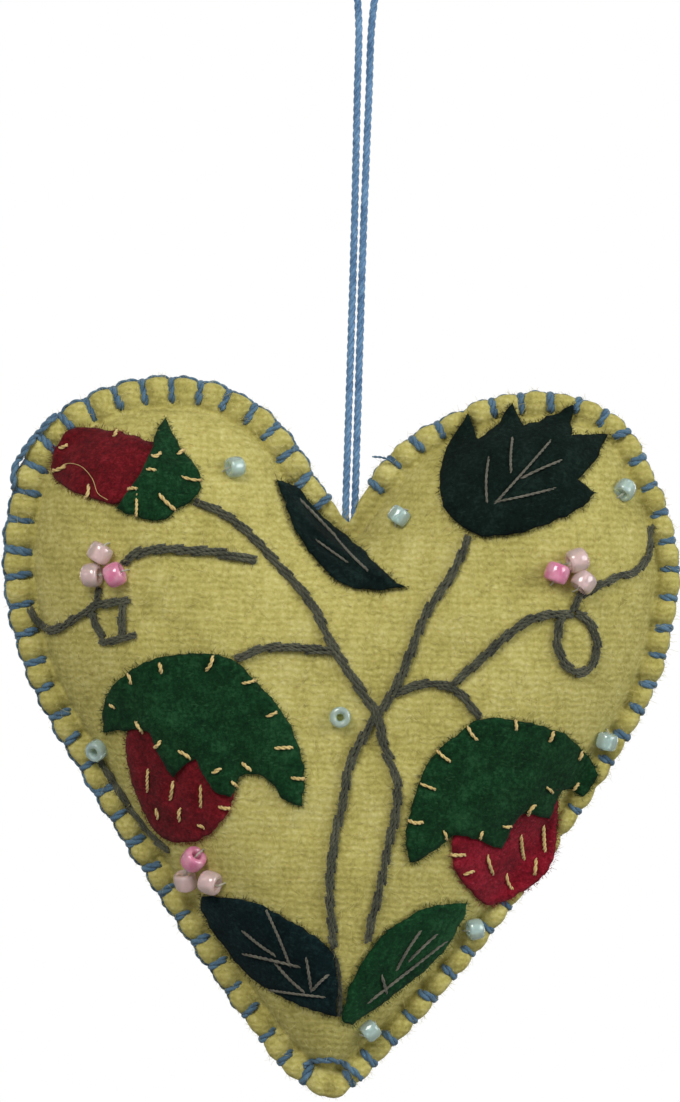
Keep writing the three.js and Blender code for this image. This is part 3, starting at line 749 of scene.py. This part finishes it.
# Each felt's sheen, then its dark, middle and light tones and its flecks
FELTS = {
    "heart_felt": (0.05, (120, 112, 48), (170, 161, 91), (200, 193, 130), (188, 160, 96)),
    "berry_felt": (0.05, (58, 4, 10), (92, 12, 20), (124, 26, 36), (140, 48, 54)),
    "bright_berry_felt": (0.05, (74, 6, 16), (116, 14, 30), (150, 32, 50), (168, 62, 72)),
    "cap_felt": (0.03, (4, 26, 12), (12, 48, 24), (32, 72, 42), (52, 90, 58)),
    "serrated_felt": (0.02, (3, 12, 9), (9, 24, 20), (24, 40, 34), (36, 54, 46)),
    "folded_felt": (0.02, (3, 12, 11), (9, 24, 22), (24, 42, 38), (36, 54, 50)),
    "teal_leaf_felt": (0.02, (3, 14, 16), (9, 27, 29), (25, 45, 45), (38, 60, 58)),
    "green_leaf_felt": (0.03, (4, 32, 15), (14, 56, 29), (36, 82, 48), (56, 98, 64)),
}
WOVEN = {"heart_felt": {"rib_mm": 0.9, "bump_mm": 0.115, "spread": 0.24}}
# Each thread's dark and light tones
YARNS = {
    "stem_yarn": ((34, 36, 27), (88, 89, 70)),
    "edge_yarn": ((40, 68, 92), (92, 124, 146)),
    "hanging_cord": ((44, 82, 122), (118, 156, 190)),
    "tack_thread": ((172, 144, 84), (216, 192, 130)),
    "vein_thread": ((66, 66, 56), (116, 112, 98)),
    "bead_thread": ((130, 130, 112), (190, 190, 172)),
    "felt_fibre": ((168, 156, 80), (214, 204, 134)),
}
# How much each glass lets through, then its tint
GLASSES = {
    "aqua_glass": (0.66, (214, 242, 238)),
    "pink_glass": (0.4, (244, 172, 198), (230, 132, 172)),
    "clear_glass": (0.64, (255, 232, 231)),
}
MATERIALS = {name: felt_material(name, *look, **WOVEN.get(name, {})) for name, look in FELTS.items()}
MATERIALS.update({name: thread_material(name, *look) for name, look in YARNS.items()})
MATERIALS.update({name: glass_material(name, *look) for name, look in GLASSES.items()})


# Camera, made first so that the cord's room is judged in the photograph's view

VIEW_CENTRE = (-1.19, 25.69)
VIEW_HEIGHT = 147.4
CAMERA_DISTANCE = 1.2
SENSOR = 36.0
CORD_LEAN = (16, 515)
CAMERA_ROLL = math.atan2(*CORD_LEAN)


def make_camera():
    data = bpy.data.cameras.new("camera")
    data.sensor_width = SENSOR
    data.lens = SENSOR * CAMERA_DISTANCE / (VIEW_HEIGHT * MM)
    data.clip_end = 20
    camera = bpy.data.objects.new("camera", data)
    place = Vector((VIEW_CENTRE[0] * MM, -CAMERA_DISTANCE, (VIEW_CENTRE[1] - HANG) * MM))
    level = Matrix.Rotation(math.pi / 2, 4, "X")
    camera.matrix_world = Matrix.Translation(place) @ level @ Matrix.Rotation(CAMERA_ROLL, 4, "Z")
    bpy.context.collection.objects.link(camera)
    bpy.context.scene.camera = camera


def finish_piece(obj, node):
    """Rides a piece on the one body, in place of its solid where it has one."""
    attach(obj, "root")
    if node:
        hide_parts(node)


# Hanging cord: the same points as the solid one

CORD_FOOT = -78.3
CORD_ROOT = -81.0


def cord_path():
    strand = (CORD_DIAMETER + GAP) / 2
    top, loop = CORD_DIAMETER / 2, LOOP_WIDTH / 2
    spread = strand + STRAND_SPREAD / 2
    close = 0.9 * strand
    rising = [
        (0.75 * strand, CORD_ROOT), (close, CORD_FOOT), (close, 0.85 * CORD_FOOT),
        (close, 0.55 * CORD_FOOT), (spread, 0.3 * CORD_FOOT), (spread + 0.1, -6 * loop),
        (0.75 * loop, -2.6 * loop), (loop, -loop), (0.72 * loop, top - 0.3 * loop),
    ]
    left = [(-x, 0.0, z) for x, z in rising]
    right = [(x, 0.0, z) for x, z in reversed(rising)]
    return resample(spline(left + [(0.0, 0.0, top)] + right), step=0.35)


def make_cord():
    path = cord_path()
    threads = Threads()
    threads.twisted(path, CORD_DIAMETER, plies=3, pitch=3.4, step=0.35, sides=8)
    cord = threads.build("hanging_cord_twisted", MATERIALS["hanging_cord"])
    finish_piece(cord, "hanging_cord")
    route = [tuple(p) for p in (resample(path, step=2.0) * MM).tolist()]


# The heart's felt

def puff_out(edge):
    """How far the felt swells out past its sewn edge: most half way between two stitches."""
    uneven = 1 + 0.12 * noise_2d(edge, 6, 9)
    return (0.5 + 0.62 * stitch_phase(edge) ** 0.7) * uneven


# The felt's turn over its edge: each ring's share of the swelling, and of the height
EDGE_TURN = [(0.86, 0.1), (1.0, 0.34), (0.97, 0.6), (0.78, 0.84), (0.42, 0.96), (0.0, 1.0)]
SPOKES = 700
EDGE_INSETS = np.linspace(0.35, 8.0, 26)
MIDDLE_SHARES = np.linspace(0.03, 0.985, 46)
SEAM_RISE = 0.04


def heart_half(front):
    """One felt panel: fine rings from the middle to the edge, over it and back to the seam."""
    edge = felt_edge(SPOKES)
    outward = normals_2d(edge)
    away = np.linalg.norm(edge - FELT_EDGE[0], axis=1)
    bulge = puff_out(edge) * smoothstep(1.0, 3.5, away)
    base = heart_surface(edge, front)
    turn = [edge + outward * (out * bulge)[:, None] for out, _ in EDGE_TURN]
    heights = [GAP / 2 + (base - GAP / 2) * up for _, up in EDGE_TURN]
    heights[0] = np.full(SPOKES, SEAM_RISE)
    spoke = MIDDLE - edge
    reach = np.linalg.norm(spoke, axis=1)[:, None]
    inner = [edge + spoke / reach * np.minimum(d, 0.9 * reach) for d in EDGE_INSETS]
    inner += [inner[-1] + (MIDDLE - inner[-1]) * share for share in MIDDLE_SHARES]
    heights += [heart_surface(ring, front) for ring in inner]
    plan = np.vstack(turn + inner + [[MIDDLE, MIDDLE]])
    rise = np.concatenate(heights + [heart_surface(MIDDLE[None], front), [SEAM_RISE]])
    last_ring = len(plan) - 2 - SPOKES
    faces = []
    for i in range(SPOKES):
        k = (i + 1) % SPOKES
        for row in range(0, last_ring, SPOKES):
            faces.append((row + i, row + k, row + SPOKES + k, row + SPOKES + i))
        faces.append((last_ring + i, last_ring + k, len(plan) - 2))
        faces.append((k, i, len(plan) - 1))
    name = "felt_front" if front else "felt_back"
    obj = new_object(name, standing(plan, rise, front) * MM, faces, MATERIALS["heart_felt"])
    finish_piece(obj, "heart_front" if front else "heart_back")


# Felt pieces on the front

BERRY_EDGES = {side: outline(stretches, 0.5) for side, stretches in BERRIES.items()}
CAP_EDGES = {side: outline(stretches, 0.5) for side, stretches in CAPS.items()}
LEAF_EDGES = {side: outline(stretches, 0.5) for side, stretches in LEAVES.items()}
COVERS = [*BERRY_EDGES.values(), *CAP_EDGES.values(), *LEAF_EDGES.values()]

FOLD_LINE = ((-8.6, 33.4), (-4.6, 28.6), (0.2, 24.9), (5.6, 21.9))
FOLD_HEIGHT, FOLD_WIDTH = 1.5, 1.5
GROOVE_HEIGHT, GROOVE_REACH, GROOVE_TURN = 0.35, 2.6, 3.4


def leaf_folds(places):
    """The folded leaf is creased lengthwise: a ridge along its middle with a groove on each side."""
    line = resample(spline(FOLD_LINE), step=0.5)
    away = np.linalg.norm(places[:, None] - line[None], axis=2)
    d = np.min(away, axis=1)
    nearest = line[np.argmin(away, axis=1)]
    along = (nearest[:, 0] - FOLD_LINE[0][0]) / (FOLD_LINE[-1][0] - FOLD_LINE[0][0])
    ends = np.clip(np.sin(math.pi * np.clip(along, 0.04, 0.96)), 0, 1) ** 0.5
    ridge = FOLD_HEIGHT * np.exp(-((d / FOLD_WIDTH) ** 2))
    return ends * (ridge + GROOVE_HEIGHT * np.cos(d * GROOVE_TURN) * np.exp(-((d / GROOVE_REACH) ** 2)))


def lie_on_heart(places):
    return FRONT.at(places, draped=True) + 0.05


def over_edge(edge, places):
    """0 outside a felt piece and 1 on it, with a short slope at its edge."""
    return smoothstep(-0.3, 0.2, signed_depth(edge, places))


def cover_height(places):
    """Height of the topmost felt at each place."""
    rise = lie_on_heart(places)
    for edge in COVERS:
        rise = rise + APPLIQUE_THICKNESS * over_edge(edge, places)
    return rise + leaf_folds(places) * over_edge(LEAF_EDGES["folded"], places)


def step_over(berry_edge, places):
    """How far a cap is lifted where it passes over its berry."""
    return APPLIQUE_THICKNESS * smoothstep(-1.6, 1.2, signed_depth(berry_edge, places))


def fill_outline(edge, step):
    """A triangle mesh inside an outline: its points and triangles."""
    low, high = edge.min(axis=0), edge.max(axis=0)
    xs = np.arange(low[0], high[0], step)
    ys = np.arange(low[1], high[1], step * 0.87)
    grid = np.array([(x + (j % 2) * step / 2, y) for j, y in enumerate(ys) for x in xs])
    grid = grid[signed_depth(edge, grid) > 0.45 * step]
    n = len(edge)
    points = [Vector(p) for p in np.vstack([edge, grid]).tolist()]
    boundary = [(i, (i + 1) % n) for i in range(n)]
    verts, _, tris, _, _, _ = delaunay_2d_cdt(points, boundary, [], 1, 1e-6)
    return np.array([(v.x, v.y) for v in verts]), [tuple(t) for t in tris]


def ragged(edge, seed, amount=0.09):
    """A cut edge that wanders a little, as scissors and fuzz leave it."""
    wander = noise_2d(edge, 2.2, seed) * amount + noise_2d(edge, 0.8, seed + 1) * amount * 0.5
    return edge + normals_2d(edge) * wander[:, None]


def boundary_loop(tris):
    """The edges that only one triangle has."""
    seen = {}
    for a, b, c in tris:
        for edge in ((a, b), (b, c), (c, a)):
            seen.setdefault(tuple(sorted(edge)), []).append(edge)
    return [edges[0] for edges in seen.values() if len(edges) == 1]


# The cut edge of a felt piece: how far in it is rounded, and how thick it still is
EDGE_ROUNDING = 0.7
EDGE_SHARE = 0.62
UNEVEN_SIZE, UNEVEN_HEIGHT = 4.0, 0.05


def felt_piece(name, stretches, material, seed, tacks, lift=None):
    """A cut piece of felt that lies on the heart, with soft edges and dimples at its stitches."""
    edge = ragged(outline(stretches, FELT_STEP), seed)
    flat, tris = fill_outline(edge, FELT_STEP)
    depth = distance_to(edge, flat)
    base = lie_on_heart(flat)
    rounding = np.sqrt(1 - (1 - np.clip(depth / EDGE_ROUNDING, 0, 1)) ** 2)
    top = APPLIQUE_THICKNESS * (EDGE_SHARE + (1 - EDGE_SHARE) * rounding)
    top = top + noise_2d(flat, UNEVEN_SIZE, seed + 2) * UNEVEN_HEIGHT * smoothstep(0.3, 1.5, depth)
    top = top - TACK_SINK * tack_dimple(flat, tacks)
    if lift:
        base = base + lift(flat)
    if name.startswith("leaf_folded"):
        top = top + leaf_folds(flat)
    n = len(flat)
    verts = np.vstack([standing(flat, base + top), standing(flat, base)]) * MM
    faces = tris + [(c + n, b + n, a + n) for a, b, c in tris]
    faces += [(a, b, b + n, a + n) for a, b in boundary_loop(tris)]
    return new_object(name, verts, faces, material), edge


# Each felt piece's material and the record's slot, where they differ from its kind's
LOOKS = {
    "strawberry": ("berry_felt",) * 2,
    "strawberry_right": ("bright_berry_felt",) * 2,
    "cap": ("cap_felt",) * 2,
    "leaf_serrated": ("serrated_felt", "dark_leaf_felt"),
    "leaf_folded": ("folded_felt", "dark_leaf_felt"),
    "leaf_lower_left": ("teal_leaf_felt", "dark_leaf_felt"),
    "leaf_lower_right": ("green_leaf_felt",) * 2,
}
PIECES = {}


def make_appliques():
    for kind, first_seed, shapes in (("strawberry", 20, BERRIES), ("cap", 50, CAPS), ("leaf", 80, LEAVES)):
        for i, (side, stretches) in enumerate(shapes.items()):
            node = f"{kind}_{side}"
            look, slot_name = LOOKS.get(node) or LOOKS[kind]
            rests_on, lift = ["felt_front"], None
            if kind == "cap":
                rests_on.append(f"strawberry_{side}_felt")
                lift = partial(step_over, BERRY_EDGES[side])
            stitches = VEINS[node] if kind == "leaf" else TACKS[node]
            obj, edge = felt_piece(
                node + "_felt", stretches, MATERIALS[look], first_seed + 5 * i, stitches, lift)
            finish_piece(obj, node)
            PIECES[node] = (edge, look, slot_name)


# Threads on the front

# Stem stitch: the core under it, and the long slanted stitches in two lanes, as shares of the stem's size
STEM_WANDER = 0.08
CORE_SHARE, CORE_PITCH = 0.7, 2.6
STRAND_SHARE, STRAND_PITCHES = 0.42, (1.3, 2.0)
STITCH_LENGTHS, STITCH_STARTS = (4.4, 6.0), (2.2, 3.2)
LANES = (-0.2, 0.2)
SLANT, CROWN, LANE_SINK, LANE_WANDER = 0.24, 0.34, 0.02, 0.03
WANDER_SPAN = 10
HAIRS_PER_STEP = 2.2


def stem_stitches(threads, points, seed, thickness=1.0):
    """Stem stitch: a row of long slanted stitches, each starting beside the middle of the last."""
    draw = np.random.default_rng(seed)
    plan = resample(spline(points), step=STEM_STEP)
    route = standing(plan, heart_surface(plan) + STEM_DIAMETER / 2 - STEM_SINK)
    knots = np.arange(0, len(route) + WANDER_SPAN, WANDER_SPAN)
    route[:, 0] += np.interp(np.arange(len(route)), knots, draw.normal(0, STEM_WANDER, len(knots)))
    size = STEM_DIAMETER * thickness
    threads.twisted(route, size * CORE_SHARE, pitch=CORE_PITCH, phase=draw.uniform(0, 6))
    along = np.gradient(route, axis=0)
    side = unit(np.stack([-along[:, 2], np.zeros(len(route)), along[:, 0]], axis=1))
    start = -1.0
    while start < len(route) * STEM_STEP - 1.2:
        stop = start + draw.uniform(*STITCH_LENGTHS)
        low, high = int(max(start, 0) / STEM_STEP), int(min(stop / STEM_STEP, len(route) - 1))
        if high - low > 3:
            t = np.linspace(-1, 1, high - low)[:, None]
            for lane in LANES:
                slant = size * (SLANT * t + lane)
                lift = np.array([0, -1, 0]) * size * (CROWN * (1 - t**2) - LANE_SINK)
                strand = route[low:high] + side[low:high] * slant + lift + draw.normal(0, LANE_WANDER, 3)
                pitch = draw.uniform(*STRAND_PITCHES)
                threads.twisted(strand, size * STRAND_SHARE, pitch=pitch, step=0.33, sides=5)
        start += draw.uniform(*STITCH_STARTS)
    for i in draw.integers(1, len(route) - 1, int(len(route) * HAIRS_PER_STEP)):
        way = side[i] * draw.choice((-1, 1)) + draw.normal(0, 0.5, 3)
        way[1] = -abs(way[1])
        way /= np.linalg.norm(way)
        fibre(threads, route[i] + way * size * 0.3, way, draw.uniform(0.3, 0.9), 0.028, draw)


# How thick each stem that stands alone is, as a share of the vine's
STEM_SHARES = {"upper_left": 1.12, "left_curl": 0.95, "right_tail": 0.85, "lower_left": 0.85}
THIN_STEM = [(-0.6, -27.1), (0.2, -29.0), (0.55, -32.0), (0.62, -36.2)]
THIN_SHARE = 0.4


def make_stems():
    threads = Threads()
    for i, line in enumerate(VINE):
        stem_stitches(threads, line, 100 + i)
    stem_stitches(threads, THIN_STEM, 110, thickness=THIN_SHARE)
    finish_piece(threads.build("vine_stitches", MATERIALS["stem_yarn"]), "vine")
    for i, (name, lines) in enumerate(STEMS.items()):
        threads = Threads()
        for k, line in enumerate(lines):
            stem_stitches(threads, line, 120 + 10 * i + k, thickness=STEM_SHARES[name])
        obj = threads.build(f"stem_{name}_stitches", MATERIALS["stem_yarn"])
        finish_piece(obj, f"stem_{name}")


def small_stitch(threads, start, end, diameter, proud, draw):
    """One small stitch: its ends sink into the felt and its middle stands a little proud."""
    t = np.linspace(-0.06, 1.06, 14)[:, None]
    a, b = np.asarray(start), np.asarray(end)
    way = (b - a) / np.linalg.norm(b - a)
    half_round = np.sin(math.pi * np.clip(t, 0, 1))
    plan = a + (b - a) * t + np.array([-way[1], way[0]]) * (draw.normal(0, 0.1) * half_round)
    rise = cover_height(plan)
    arch = np.clip(half_round[:, 0], 0, 1) ** 0.5
    rise = rise - STITCH_SINK + arch * (proud + 0.35)
    size = diameter * draw.uniform(0.85, 1.15)
    threads.twisted(standing(plan, rise), size, plies=2, pitch=draw.uniform(1.2, 2.2), step=0.12)


STRAY_THREAD = [(-39.3, 35.2), (-38.0, 36.2), (-36.0, 35.9), (-34.4, 34.3), (-33.6, 32.4), (-32.2, 31.5)]


def make_small_stitches():
    draw = np.random.default_rng(61)
    tacks, veins = Threads(), Threads()
    for threads, groups, diameter, proud in (
            (tacks, TACKS, TACK_DIAMETER, 0.26), (veins, VEINS, VEIN_DIAMETER, 0.22)):
        for group in groups.values():
            for start, end in group:
                small_stitch(threads, start, end, diameter, proud, draw)
    plan = resample(spline(STRAY_THREAD), step=0.4)
    tacks.tube(standing(plan, cover_height(plan) + 0.1), 0.04, 5)
    finish_piece(tacks.build("tacking_stitches", MATERIALS["tack_thread"]), None)
    finish_piece(veins.build("vein_stitches", MATERIALS["vein_thread"]), None)


# Blanket stitch

# How far in each point of a stitch lies, as a share of its bite, and how much it sinks into the felt
BAR_SHARES = {1.0: 0.9, 0.88: 0.1, 0.68: 0.0, 0.48: 0.0, 0.28: 0.0, 0.1: 0.0}
BAR_LEAN = 0.3
BITE_CHANGE = (0.86, 1.1)
BAR_PLUMPNESS = (1.35, 1.65)
NOSE_HALF = 0.9
NOSE_INSET = 0.12


def bar(threads, place, outward, along, draw, front_covered):
    """A stitch from the front, round the edge and in over the back."""
    lean = draw.normal(0, BAR_LEAN)
    bite = read_off(BITES, place[None])[0] * draw.uniform(*BITE_CHANGE)
    inward = place - outward * bite + along * lean
    size = YARN_DIAMETER * draw.uniform(*BAR_PLUMPNESS)
    plan = np.array([place + (inward - place) * share for share in BAR_SHARES])
    sink = np.array(list(BAR_SHARES.values()))
    front, back = (
        standing(plan, heart_surface(plan, side) + size * 0.22 - sink, side) for side in (True, False))
    outer = place - outward * NOSE_INSET
    nose = np.array([(outer[0], side * NOSE_HALF, outer[1] - HANG) for side in (-1, 0, 1)])
    route = back[::-1] if front_covered else np.vstack([front, nose, back[::-1]])
    phase = draw.uniform(0, 6)
    threads.twisted(spline(route, per_span=8), size, plies=3, pitch=4.4, step=0.3, sides=7, phase=phase)


def away_from_middle(line):
    """Directions along a line round the heart, and square to it away from the heart's middle."""
    along = unit(np.gradient(line, axis=0))
    outward = np.stack([-along[:, 1], along[:, 0]], axis=1)
    if np.mean(np.sum(outward * (line - MIDDLE), axis=1)) < 0:
        outward = -outward
    return along, outward


# The thread over the heart's point, the thicker one at the upper left corner, and the loose end
TIP_THREAD = [(-3.9, -43.2), (-2.2, -42.4), (0.2, -42.3), (2.2, -43.2), (4.0, -44.8)]
CORNER_THREAD = [(-45.0, 32.6), (-44.9, 35.6), (-42.6, 39.4), (-39.6, 42.7)]
LOOSE_END = [(5.6, -1.6, 37.6), (4.8, -2.6, 38.1), (3.9, -2.9, 38.35), (2.7, -2.9, 38.4)]
BARE_TIP_TOP, BARE_TIP_HALF = -44, 2.4


def make_blanket_stitch():
    threads = Threads()
    draw = np.random.default_rng(31)
    for place, way, out in zip(STITCHES, *away_from_middle(STITCHES)):
        at_tip = place[1] < BARE_TIP_TOP and abs(place[0]) < BARE_TIP_HALF
        under = (place - out * 1.5)[None]
        covered = any(signed_depth(edge, under)[0] > 0.2 for edge in COVERS)
        bar(threads, place, out, way, draw, at_tip or covered)
    behind = read_off(PURL_BACK, PURL_LINE)
    reach = puff_out(PURL_LINE) - GAP - YARN_DIAMETER / 2 + 0.02 - 0.4 * np.clip(behind, 0, 1)
    plan = PURL_LINE + away_from_middle(PURL_LINE)[1] * reach[:, None]
    knots = np.arange(0, len(plan) + 5, 5)
    depth = behind + np.interp(np.arange(len(plan)), knots, draw.normal(0, 0.25, len(knots)))
    purl = spline(standing(plan, -depth), per_span=4)
    threads.twisted(purl, YARN_DIAMETER * 0.9, plies=2, pitch=3.0)
    for line, proud, share in ((TIP_THREAD, 0.2, 1.2), (CORNER_THREAD, 0.3, 1.25)):
        plan = resample(spline(line), step=0.4)
        threads.twisted(standing(plan, heart_surface(plan) + proud), YARN_DIAMETER * share, pitch=3.4)
    threads.twisted(spline([(x, y, v - HANG) for x, y, v in LOOSE_END]), 0.34, pitch=1.2, step=0.15)
    finish_piece(threads.build("blanket_stitches", MATERIALS["edge_yarn"]), "blanket_stitch")


# Beads

BEAD_SIDES = 28
PROFILE_POINTS = 20
SHOULDER = 0.75
BEAD_SEAT = 0.86


def bead_profile():
    """Half the cut through a bead: a round shoulder outside and a straight hole."""
    radius, half, hole = BEAD_DIAMETER / 2, BEAD_LENGTH / 2, BEAD_HOLE / 2
    thick = (radius - hole) / 2
    angles = np.linspace(0, 2 * math.pi, PROFILE_POINTS, endpoint=False)
    across = np.sign(np.cos(angles)) * np.abs(np.cos(angles)) ** SHOULDER
    along = np.sign(np.sin(angles)) * np.abs(np.sin(angles)) ** SHOULDER
    return np.stack([hole + thick + thick * across, half * along], axis=1)


def bead_frame(place, turned):
    """The way a bead's hole points, along the felt or straight out of it, and the way out of the felt."""
    steps = np.array([(0.5, 0), (-0.5, 0), (0, 0.5), (0, -0.5)])
    high = FRONT.at(place + steps, draped=True)
    outwards = -Vector((high[0] - high[1], 1, high[2] - high[3])).normalized()
    if turned is None:
        return outwards, outwards
    angle = math.radians(turned)
    way = Vector((math.cos(angle), 0, math.sin(angle)))
    return (way - outwards * way.dot(outwards)).normalized(), outwards


def make_beads():
    angles = np.linspace(0, 2 * math.pi, BEAD_SIDES, endpoint=False)
    ring = [(r * math.cos(a), r * math.sin(a), z) for a in angles for r, z in bead_profile()]
    n = PROFILE_POINTS
    faces = []
    for i in range(BEAD_SIDES):
        row, following = i * n, (i + 1) % BEAD_SIDES * n
        for k in range(n):
            up = (k + 1) % n
            faces.append((row + k, row + up, following + up, following + k))
    threads = Threads()
    draw = np.random.default_rng(91)
    for name, places in BEADS.items():
        clustered = name != "bead_aqua"
        middle = np.mean([(u, v) for u, v, _ in places], axis=0)
        for i, (u, v, turned) in enumerate(places):
            glass = "aqua_glass" if not clustered else ("pink_glass" if i == 0 else "clear_glass")
            place = np.array([u, v])
            size = CLUSTER_SCALE if clustered else 1.0
            if clustered:
                place = middle + (place - middle) * CLUSTER_PULL
            axis, outwards = bead_frame(place, turned)
            reach = (BEAD_LENGTH if turned is None else BEAD_DIAMETER) / 2 * size
            rise = FRONT.at(place[None], draped=True)[0] + reach * BEAD_SEAT
            centre = Vector((place[0], -rise, place[1] - HANG))
            turn = Vector((0, 0, 1)).rotation_difference(axis)
            long = draw.uniform(0.94, 1.06) * size
            verts = [(turn @ Vector((x * size, y * size, z * long)) + centre) * MM for x, y, z in ring]
            node = f"{name}_{i + 1}"
            finish_piece(new_object(f"{node}_glass", verts, faces, MATERIALS[glass]), node)
            if turned is None:
                continue
            half = axis * (BEAD_LENGTH * 0.5 * size)
            down = -outwards * 1.7
            ends = [centre - half * 1.5 + down, centre - half, centre, centre + half]
            ends.append(centre + half * 1.5 + down)
            threads.twisted(spline([tuple(p) for p in ends], 8), 0.26, pitch=0.9, step=0.15, sides=5)
    finish_piece(threads.build("bead_threads", MATERIALS["bead_thread"]), None)


# Loose fibres

def fibre(threads, root, way, length, radius, draw):
    """One loose wool fibre: a thin curved hair that tapers to its end."""
    t = np.linspace(0, 1, 5)[:, None]
    bend = draw.normal(0, 0.35, 3)
    path = root + way * t * length + bend * t**2 * length
    threads.tube(path, radius * np.array([1.0, 0.95, 0.8, 0.6, 0.25]), 3)


def outline_fibres(edge, height_of, count, seed, length, radius):
    """Hairs that stand out from an edge, on a layer whose height is a function of the place."""
    draw = np.random.default_rng(seed)
    threads = Threads()
    outward = normals_2d(edge)
    for i in draw.integers(0, len(edge), count):
        place = edge[i] + draw.normal(0, 0.12, 2)
        rise = height_of(place[None])[0] - draw.uniform(0, 0.75)
        root = np.array([place[0], -rise, place[1] - HANG])
        way = np.array([outward[i][0], -abs(draw.normal(0, 0.5)), outward[i][1]])
        way = way + draw.normal(0, 0.6, 3) * (1, 0.5, 1)
        way /= np.linalg.norm(way)
        fibre(threads, root, way, draw.uniform(*length), radius, draw)
    return threads


def lying_hairs(threads, places, rise, side, lift, length, radius, draw):
    """Short hairs that lie almost flat over felt; side is -1 on the front and 1 on the back."""
    for (u, v), h in zip(places, rise):
        angle = draw.uniform(0, 2 * math.pi)
        way = np.array([math.cos(angle), side * lift, math.sin(angle)])
        fibre(threads, np.array([u, side * h, v - HANG]), way, draw.uniform(*length), radius, draw)


def surface_fibres(count, seed, front):
    """Hairs all over one side of the heart, beside the felt pieces."""
    draw = np.random.default_rng(seed)
    threads = Threads()
    places = draw.uniform(FELT_EDGE.min(axis=0), FELT_EDGE.max(axis=0), (count * 2, 2))
    places = places[inside(FELT_EDGE, places)][:count]
    for edge in COVERS if front else ():
        places = places[signed_depth(edge, places) < -0.6]
    rise = heart_surface(places, front) - 0.02
    lying_hairs(threads, places, rise, -1 if front else 1, 0.22, (0.6, 1.8), 0.026, draw)
    return threads


def over_felt(threads, edge, upper_edge, count, seed):
    """Hairs all over a cut piece of felt, beside the piece that laps it."""
    draw = np.random.default_rng(seed)
    places = draw.uniform(edge.min(axis=0), edge.max(axis=0), (count * 2, 2))
    places = places[signed_depth(edge, places) > 0.5][:count]
    if upper_edge is not None:
        places = places[signed_depth(upper_edge, places) < -0.6]
    lying_hairs(threads, places, cover_height(places) - 0.03, -1, 0.1, (0.4, 0.8), 0.018, draw)


RIM_HAIRS, FRONT_HAIRS, BACK_HAIRS, PIECE_HAIRS = 1700, 4600, 1500, 200
RIM_HAIR_HEIGHT = 1.3
PIECE_HAIR_RISE = 0.85


def make_fibres():
    edge = felt_edge(899)
    edge = edge + normals_2d(edge) * (puff_out(edge) - 0.1)[:, None]
    rim = outline_fibres(
        edge, lambda p: np.full(len(p), RIM_HAIR_HEIGHT), RIM_HAIRS, 200, (0.25, 0.8), 0.02)
    finish_piece(rim.build("rim_fibres", MATERIALS["felt_fibre"]), None)
    for name, front, count in (("front_fibres", True, FRONT_HAIRS), ("back_fibres", False, BACK_HAIRS)):
        hairs = surface_fibres(count, 210 + front, front)
        finish_piece(hairs.build(name, MATERIALS["felt_fibre"]), None)
    for i, (node, (edge, look, slot_name)) in enumerate(PIECES.items()):
        hairs = outline_fibres(
            edge, lambda p: lie_on_heart(p) + PIECE_HAIR_RISE, 4 * len(edge), 230 + i, (0.25, 0.7), 0.03)
        over_felt(hairs, edge, CAP_EDGES.get(node.removeprefix("strawberry_")), PIECE_HAIRS, 300 + i)
        finish_piece(hairs.build(f"{node}_fibres", MATERIALS[look]), None)


# Room and light

ROOM_LIGHT = 0.38
WHITE = (1, 1, 1)
LIT_PLACE = (0, 0, -0.1)
# Each light's place in metres, its size, power and colour
LIGHTS = {
    "key": ((-0.3, -0.75, 0.42), 0.4, 5.7, (1.0, 0.98, 0.95)),
    "fill": ((0.85, -0.55, 0.2), 0.6, 6.8, (0.96, 0.98, 1.0)),
    "back_left": ((-0.5, 0.7, 0.25), 0.6, 3.5, WHITE),
    "back_right": ((0.5, 0.7, 0.1), 0.6, 2.5, WHITE),
}


def make_white_room():
    """White all round as the camera sees it, and a dimmer white as the light that it gives."""
    room = bpy.data.worlds.new("studio")
    room.use_nodes = True
    nodes, links = room.node_tree.nodes, room.node_tree.links
    glow, seen = nodes["Background"], nodes.new("ShaderNodeBackground")
    for background in (glow, seen):
        background.inputs["Color"].default_value = (*WHITE, 1)
    glow.inputs["Strength"].default_value = ROOM_LIGHT
    mix = nodes.new("ShaderNodeMixShader")
    links.new(nodes.new("ShaderNodeLightPath").outputs["Is Camera Ray"], mix.inputs[0])
    links.new(glow.outputs[0], mix.inputs[1])
    links.new(seen.outputs[0], mix.inputs[2])
    links.new(mix.outputs[0], nodes["World Output"].inputs["Surface"])
    bpy.context.scene.world = room
    bpy.context.scene.view_settings.view_transform = "Standard"


def make_light():
    for name, (place, size, power, colour) in LIGHTS.items():
        data = bpy.data.lights.new(name, "AREA")
        data.size = size
        data.energy = power
        data.color = colour
        light = bpy.data.objects.new(name, data)
        light.location = place
        aim = Vector(LIT_PLACE) - Vector(place)
        light.rotation_euler = aim.to_track_quat("-Z", "Y").to_euler()
        bpy.context.collection.objects.link(light)


make_camera()
make_cord()
heart_half(True)
heart_half(False)
make_appliques()
make_stems()
make_small_stitches()
make_blanket_stitch()
make_beads()
make_fibres()
make_white_room()
make_light()
